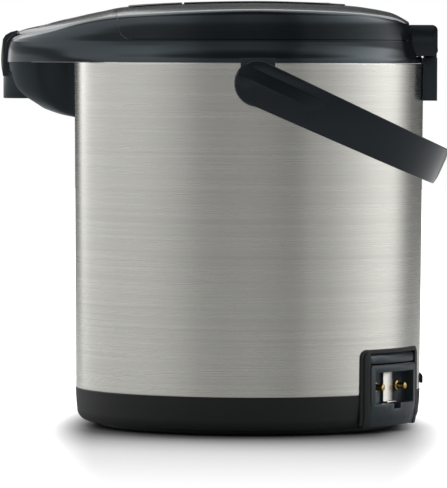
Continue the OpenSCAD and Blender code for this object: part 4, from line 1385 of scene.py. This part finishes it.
@dataclass
class CarryHandle(SubAssembly):
    """Swinging handle and its lugs.

    Attributes:
        pivot: Place and height of the pivots.
        tilt: Angle of the stowed handle below the horizon, in degrees.
        reach: Distance from the pivots to the grip's outer face.
        half_w: Half the width over the arms' outer faces.
        end_r: Radius of the arms' round ends.
        face_r: Radius of the grip's face seen from the side.
        face_y: Heights of that face's edges from its middle.
        facet_face: Distance from the pot's middle plane to the facet cut along each arm.
    """

    title: str = "handle"
    body: str = "carry_handle"
    trimmed: Trimmed = (("handle_lugs", Surface.SATIN_BLACK, 0.5),)
    pivot: Station = (5.5, 217.5)
    tilt: float = 24.5
    reach: float = 128.4
    half_w: float = 122.4
    end_r: float = 13.8
    face_r: float = 32.5
    face_y: Station = (-11.45, 12.05)
    facet_face: float = 121.3

    def oval(self, inset_x: float, inset_y: float, steps: int = 96) -> list[Station]:
        """Returns half of a squared oval from pivot to pivot, with ends that run back past the pivots.

        Args:
            inset_x: How far it lies inside the grip's outer face, in millimetres.
            inset_y: How far it lies inside the arms' outer faces.
            steps: Number of steps along it.

        Returns:
            The outline's corners.
        """

        def squared(value: float) -> float:
            """Raises a signed value to the oval's power."""
            return math.copysign(abs(value) ** (2 / 2.6), value)

        turns = [math.radians(-90 + 180 * i / steps) for i in range(steps + 1)]
        along, over = self.reach - inset_x, self.half_w - inset_y
        return [(along * squared(math.cos(a)), over * squared(math.sin(a))) for a in turns]

    def bow(self) -> None:
        """Models the handle: a flat bow with round ends and soft edges."""
        end_r, half, inner = self.end_r, self.half_w, self.half_w - 9
        bow = slab([(-end_r, -half), *self.oval(0, 0), (-end_r, half)], -20, 20)
        inside = [(-end_r - 1, -inner), *self.oval(7.1, 9), (-end_r - 1, inner)]
        cut(bow, slab(inside, -25, 25))
        low, high = (math.degrees(math.asin(y / self.face_r)) for y in self.face_y)
        side = [*arc((self.reach - self.face_r, 0), self.face_r, low, high, 16), *arc((0, 0), end_r, 83, 277, 48)]
        combine(bow, "INTERSECT", slab(side, -140, 140, across=True))
        soften(bow, 2.2, segments=4, angle=50)
        for way in (-1, 1):
            cut(bow, rod((0, way * 116 + 3.3, 0), 6.6, 6.05, (90, 0, 0)), self.facet(way))
        soften(bow, 0, smooth=28)
        leave_out_of_mirrors(bow)
        put(bow, -self.tilt, "Y", (self.pivot[0], 0, self.pivot[1]))
        self.dress(bow, Surface.GLOSS_BLACK, "handle")

    def facet(self, way: int) -> Piece:
        """Models the wedge that cuts the long facet along an arm's outer face.

        Args:
            way: The arm's side of the pot, -1 or 1.

        Returns:
            The cutter.
        """
        section = [(way * 1.25, 0.2), (0, 7.4), (way * 4, 7.4), (way * 4, 0.2)]
        wedge = fresh(bpy.ops.mesh.primitive_cube_add, size=1)
        for vertex in wedge.data.vertices:
            corner = (0 if vertex.co.y * way < 0 else 2) + (1 if (vertex.co.z > 0) != (vertex.co.y * way > 0) else 0)
            y, z = section[corner]
            vertex.co = Vector((vertex.co.x * 61 + 30.5, y, z)) * MM
        edit_all(wedge, face_out)
        put(wedge, way * 1.7, "Z", (-17, way * self.facet_face, 0))
        return wedge

    def build(self) -> None:
        """Makes and dresses the handle's pieces."""
        self.dress_nodes()
        self.bow()


@dataclass
class PowerInlet(SubAssembly):
    """Housing, keeper plate and pins of the power inlet."""

    title: str = "inlet"
    body: str = "pot"
    trimmed: Trimmed = (
        ("inlet_frame", Surface.MATTE_BLACK, 0.6), ("inlet_bezel", Surface.SATIN_BLACK, 0.4),
        ("inlet_cap", Surface.SATIN_BLACK, 0.5), ("keeper_plate", Surface.KEEPER_STEEL, 0.2),
        ("power_pins", Surface.BRASS, 0.4),
    )


@dataclass
class SwivelBase(SubAssembly):
    """Turntable, its clip and its pads."""

    title: str = "swivel base"
    body: str = "swivel_base"
    trimmed: Trimmed = (
        ("turntable", Surface.MATTE_BLACK, 0.3), ("foot_pads", Surface.PAD_RUBBER, 0.3),
        ("swivel_clip", Surface.PIN_STEEL, 0.1),
    )


# ---------------------------------------------------------------- studio


@dataclass
class Studio:
    """Floor, light and camera.

    Attributes:
        distance: Camera's distance from the pot's axis, in millimetres.
        camera_z: Camera's height in millimetres.
        view_px: Focal length in pixels of the frame.
        frame_px: Width and height of the frame.
        aim: Place on the pot's middle plane at the frame's centre, in millimetres.
        roll: Turn of the camera about its own axis, in degrees.
        ring: Radiance round the pot: degrees from the camera's side towards the hinge, and level.
        rise: Share of that radiance by the sine of the height above the horizon.
        paper: Grey of the floor's paint far from the pot, and in the painted shadow right beside it.
        foot: Distances from the pot's axis over which the painted shadow on the floor beside it darkens, in metres.
        painted_shadow_power: How steeply that painted shadow darkens.
        painted_shadow_sides: Distances over which that painted shadow ends to the left and right, about
            painted_shadow_shift.
        painted_shadow_shift: How far to the left of the axis that painted shadow lies.
        pool: Half width and half depth of the ellipse that the shadow fades out in, in metres, where a painted glow
            takes over.
        pool_edge: Shares of the ellipse's radius over which a painted glow turns the floor white.
        painted_glow: Distances from the pot's axis over which a painted glow brightens the floor, and by how much.
    """

    distance: float = 3200
    camera_z: float = 230
    view_px: float = 5046
    frame_px: tuple[int, int] = (447, 488)
    aim: Station = (-15.7, 115.0)
    roll: float = 0.22
    ring: tuple[Station, ...] = (
        (-180, 0.2), (-172, 0.1), (-158, 0.03), (-151, 0.5), (-146, 2.0), (-141, 2.3), (-135, 1.75), (-127, 1.4),
        (-103, 1.2), (-85, 1.2), (-71, 1.15), (-55, 0.97), (-44, 0.78), (-33, 0.5), (-20, 0.42), (0, 0.46),
        (14, 0.4), (28, 0.28), (35, 0.33), (41, 0.6), (52, 0.77), (63, 1.07), (80, 1.66), (92, 2.1), (106, 2.4),
        (114, 2.2), (122, 1.2), (130, 0.4), (138, 0.06), (166, 0.03), (180, 0.2),
    )
    rise: tuple[Station, ...] = (
        (-1, 0), (-0.5, 0.05), (-0.2, 1), (0.07, 1), (0.13, 0.4), (0.25, 0.35), (0.33, 1.2), (0.6, 1.3), (0.72, 0.3),
        (1, 0.3),
    )
    paper: Station = (0.85, 0.19)
    foot: Station = (0.114, 0.27)
    painted_shadow_power: float = 2.5
    painted_shadow_sides: Station = (0.085, 0.125)
    painted_shadow_shift: float = 0.01
    pool: Station = (0.118, 0.9)
    pool_edge: Station = (0.8, 1.22)
    painted_glow: Point = (0.2, 0.5, 0.32)

    def camera(self) -> None:
        """Adds the camera, level with the body's top edge."""
        data = bpy.data.cameras.new("camera")
        data.sensor_width = 36
        data.lens = self.view_px * data.sensor_width / max(self.frame_px)
        data.clip_end = 100
        camera = bpy.data.objects.new("camera", data)
        bpy.context.scene.collection.objects.link(camera)
        camera.location = Vector((0, -self.distance, self.camera_z)) * MM
        look = Vector((self.aim[0], 0, self.aim[1])) * MM - camera.location
        turned = look.to_track_quat("-Z", "Y").to_matrix() @ Matrix.Rotation(math.radians(self.roll), 3, "Z")
        camera.rotation_euler = turned.to_euler()
        bpy.context.scene.camera = camera

    def floor(self) -> None:
        """Adds a pale floor that shows white through a painted glow, and keeps the pot's shadow with a painted shadow
        deepest round its foot.
        """
        floor = fresh(bpy.ops.mesh.primitive_plane_add, size=12)
        floor.name = "floor"
        material = bpy.data.materials.new("white_paper")
        material.use_nodes = True
        tree = material.node_tree
        paper = node_of(tree, "BSDF_PRINCIPLED")
        connect(tree, paper, Base_Color=linear("#C0C0C0"), Roughness=0.9)
        place = add_node(tree, "TexCoord").outputs["Object"]
        reach = add_node(tree, "VectorMath", {"operation": "LENGTH"}, i0=place)
        # Painted shadow: the paint darkens towards the foot, which gives the deep line of shadow under it.
        deep = reckon(tree, "POWER", remap(tree, reach, self.foot, (1, 0)), self.painted_shadow_power)
        across = add_node(tree, "SeparateXYZ", Vector=place).outputs["X"]
        apart = reckon(tree, "ABSOLUTE", reckon(tree, "ADD", across, self.painted_shadow_shift))
        painted_shadow = reckon(tree, "MULTIPLY", deep, remap(tree, apart, self.painted_shadow_sides, (1, 0), soft=True))
        paint = add_node(tree, "BsdfDiffuse", Color=remap(tree, painted_shadow, ends=self.paper))
        # Painted glow: it lifts the paint to white away from the pot and past the pool that its shadow lies in, which
        # cuts that shadow off.
        far = remap(tree, reach, self.painted_glow[:2], (0, self.painted_glow[2]))
        narrow = add_node(tree, "Mapping", Vector=place, Scale=(1 / self.pool[0], 1 / self.pool[1], 1))
        beside = add_node(tree, "VectorMath", {"operation": "LENGTH"}, i0=narrow)
        painted_glow_strength = reckon(tree, "ADD", far, remap(tree, beside, self.pool_edge, soft=True))
        glow = add_node(tree, "Emission", Color=(1, 1, 1, 1), Strength=painted_glow_strength)
        lit = add_node(tree, "AddShader", i0=paint, i1=glow)
        self.show(tree, paper, lit, "OUTPUT_MATERIAL")
        floor.data.materials.append(material)

    def show(self, tree: Tree, lighting: Node, seen: Node, output: str) -> None:
        """Gives a tree's output one shader for light and reflections and another for the camera."""
        mixed = add_node(tree, "MixShader", i0=add_node(tree, "LightPath"), i1=lighting, i2=seen)
        connect(tree, node_of(tree, output), Surface=mixed)

    def surroundings(self) -> None:
        """Sets the world: a ring of soft panels for the light, plain white for the camera."""
        world = bpy.data.worlds.new("studio")
        world.use_nodes = True
        bpy.context.scene.world = world
        tree = world.node_tree
        way = add_node(tree, "SeparateXYZ", Vector=add_node(tree, "TexCoord").outputs["Generated"])
        angle = reckon(tree, "ARCTAN2", way.outputs["X"], reckon(tree, "MULTIPLY", way.outputs["Y"], -1.0))
        ring = add_node(tree, "ValToRGB", Fac=remap(tree, angle, (-math.pi, math.pi)))
        rise = add_node(tree, "ValToRGB", Fac=remap(tree, way.outputs["Z"], (-1, 1)))
        fill_ramp(ring, self.ring)
        fill_ramp(rise, self.rise)
        sky = add_node(tree, "Mix", {"data_type": "RGBA", "blend_type": "MULTIPLY"}, i0=1.0, i6=ring, i7=rise)
        studio = node_of(tree, "BACKGROUND")
        connect(tree, studio, Color=sky.outputs[2])
        self.show(tree, studio, add_node(tree, "Background", Color=(1, 1, 1, 1), Strength=1.0), "OUTPUT_WORLD")

    def panel_light(self, name: str, place: Sequence[float], size: Station, watts: float) -> None:
        """Adds a soft panel that faces the pot.

        Args:
            name: The light's name.
            place: Its middle in millimetres.
            size: Width and height in millimetres.
            watts: Its power.
        """
        data = bpy.data.lights.new(name, "AREA")
        data.shape = "RECTANGLE"
        data.size, data.size_y = size[0] * MM, size[1] * MM
        data.energy = watts
        light = bpy.data.objects.new(name, data)
        bpy.context.scene.collection.objects.link(light)
        light.location = Vector(place) * MM
        aim = Vector((0, 0, 150)) * MM - light.location
        light.rotation_euler = aim.to_track_quat("-Z", "Y").to_euler()

    def build(self) -> None:
        """Sets up the whole studio."""
        self.camera()
        self.floor()
        self.surroundings()
        self.panel_light("overhead_panel", (0, 600, 1250), (2000, 1400), 13)
        self.panel_light("back_panel", (0, 1400, 860), (1800, 430), 2.8)
        bpy.context.scene.view_settings.view_transform = "Standard"


def main() -> None:
    """Builds the pot and its studio."""
    logging.basicConfig(level=logging.INFO, format="%(name)s %(message)s")
    Studio().build()
    for group in (Inside(), Body(), Head(), Lid(), CarryHandle(), PowerInlet(), SwivelBase()):
        group.build()


if __name__ == "__main__":
    main()
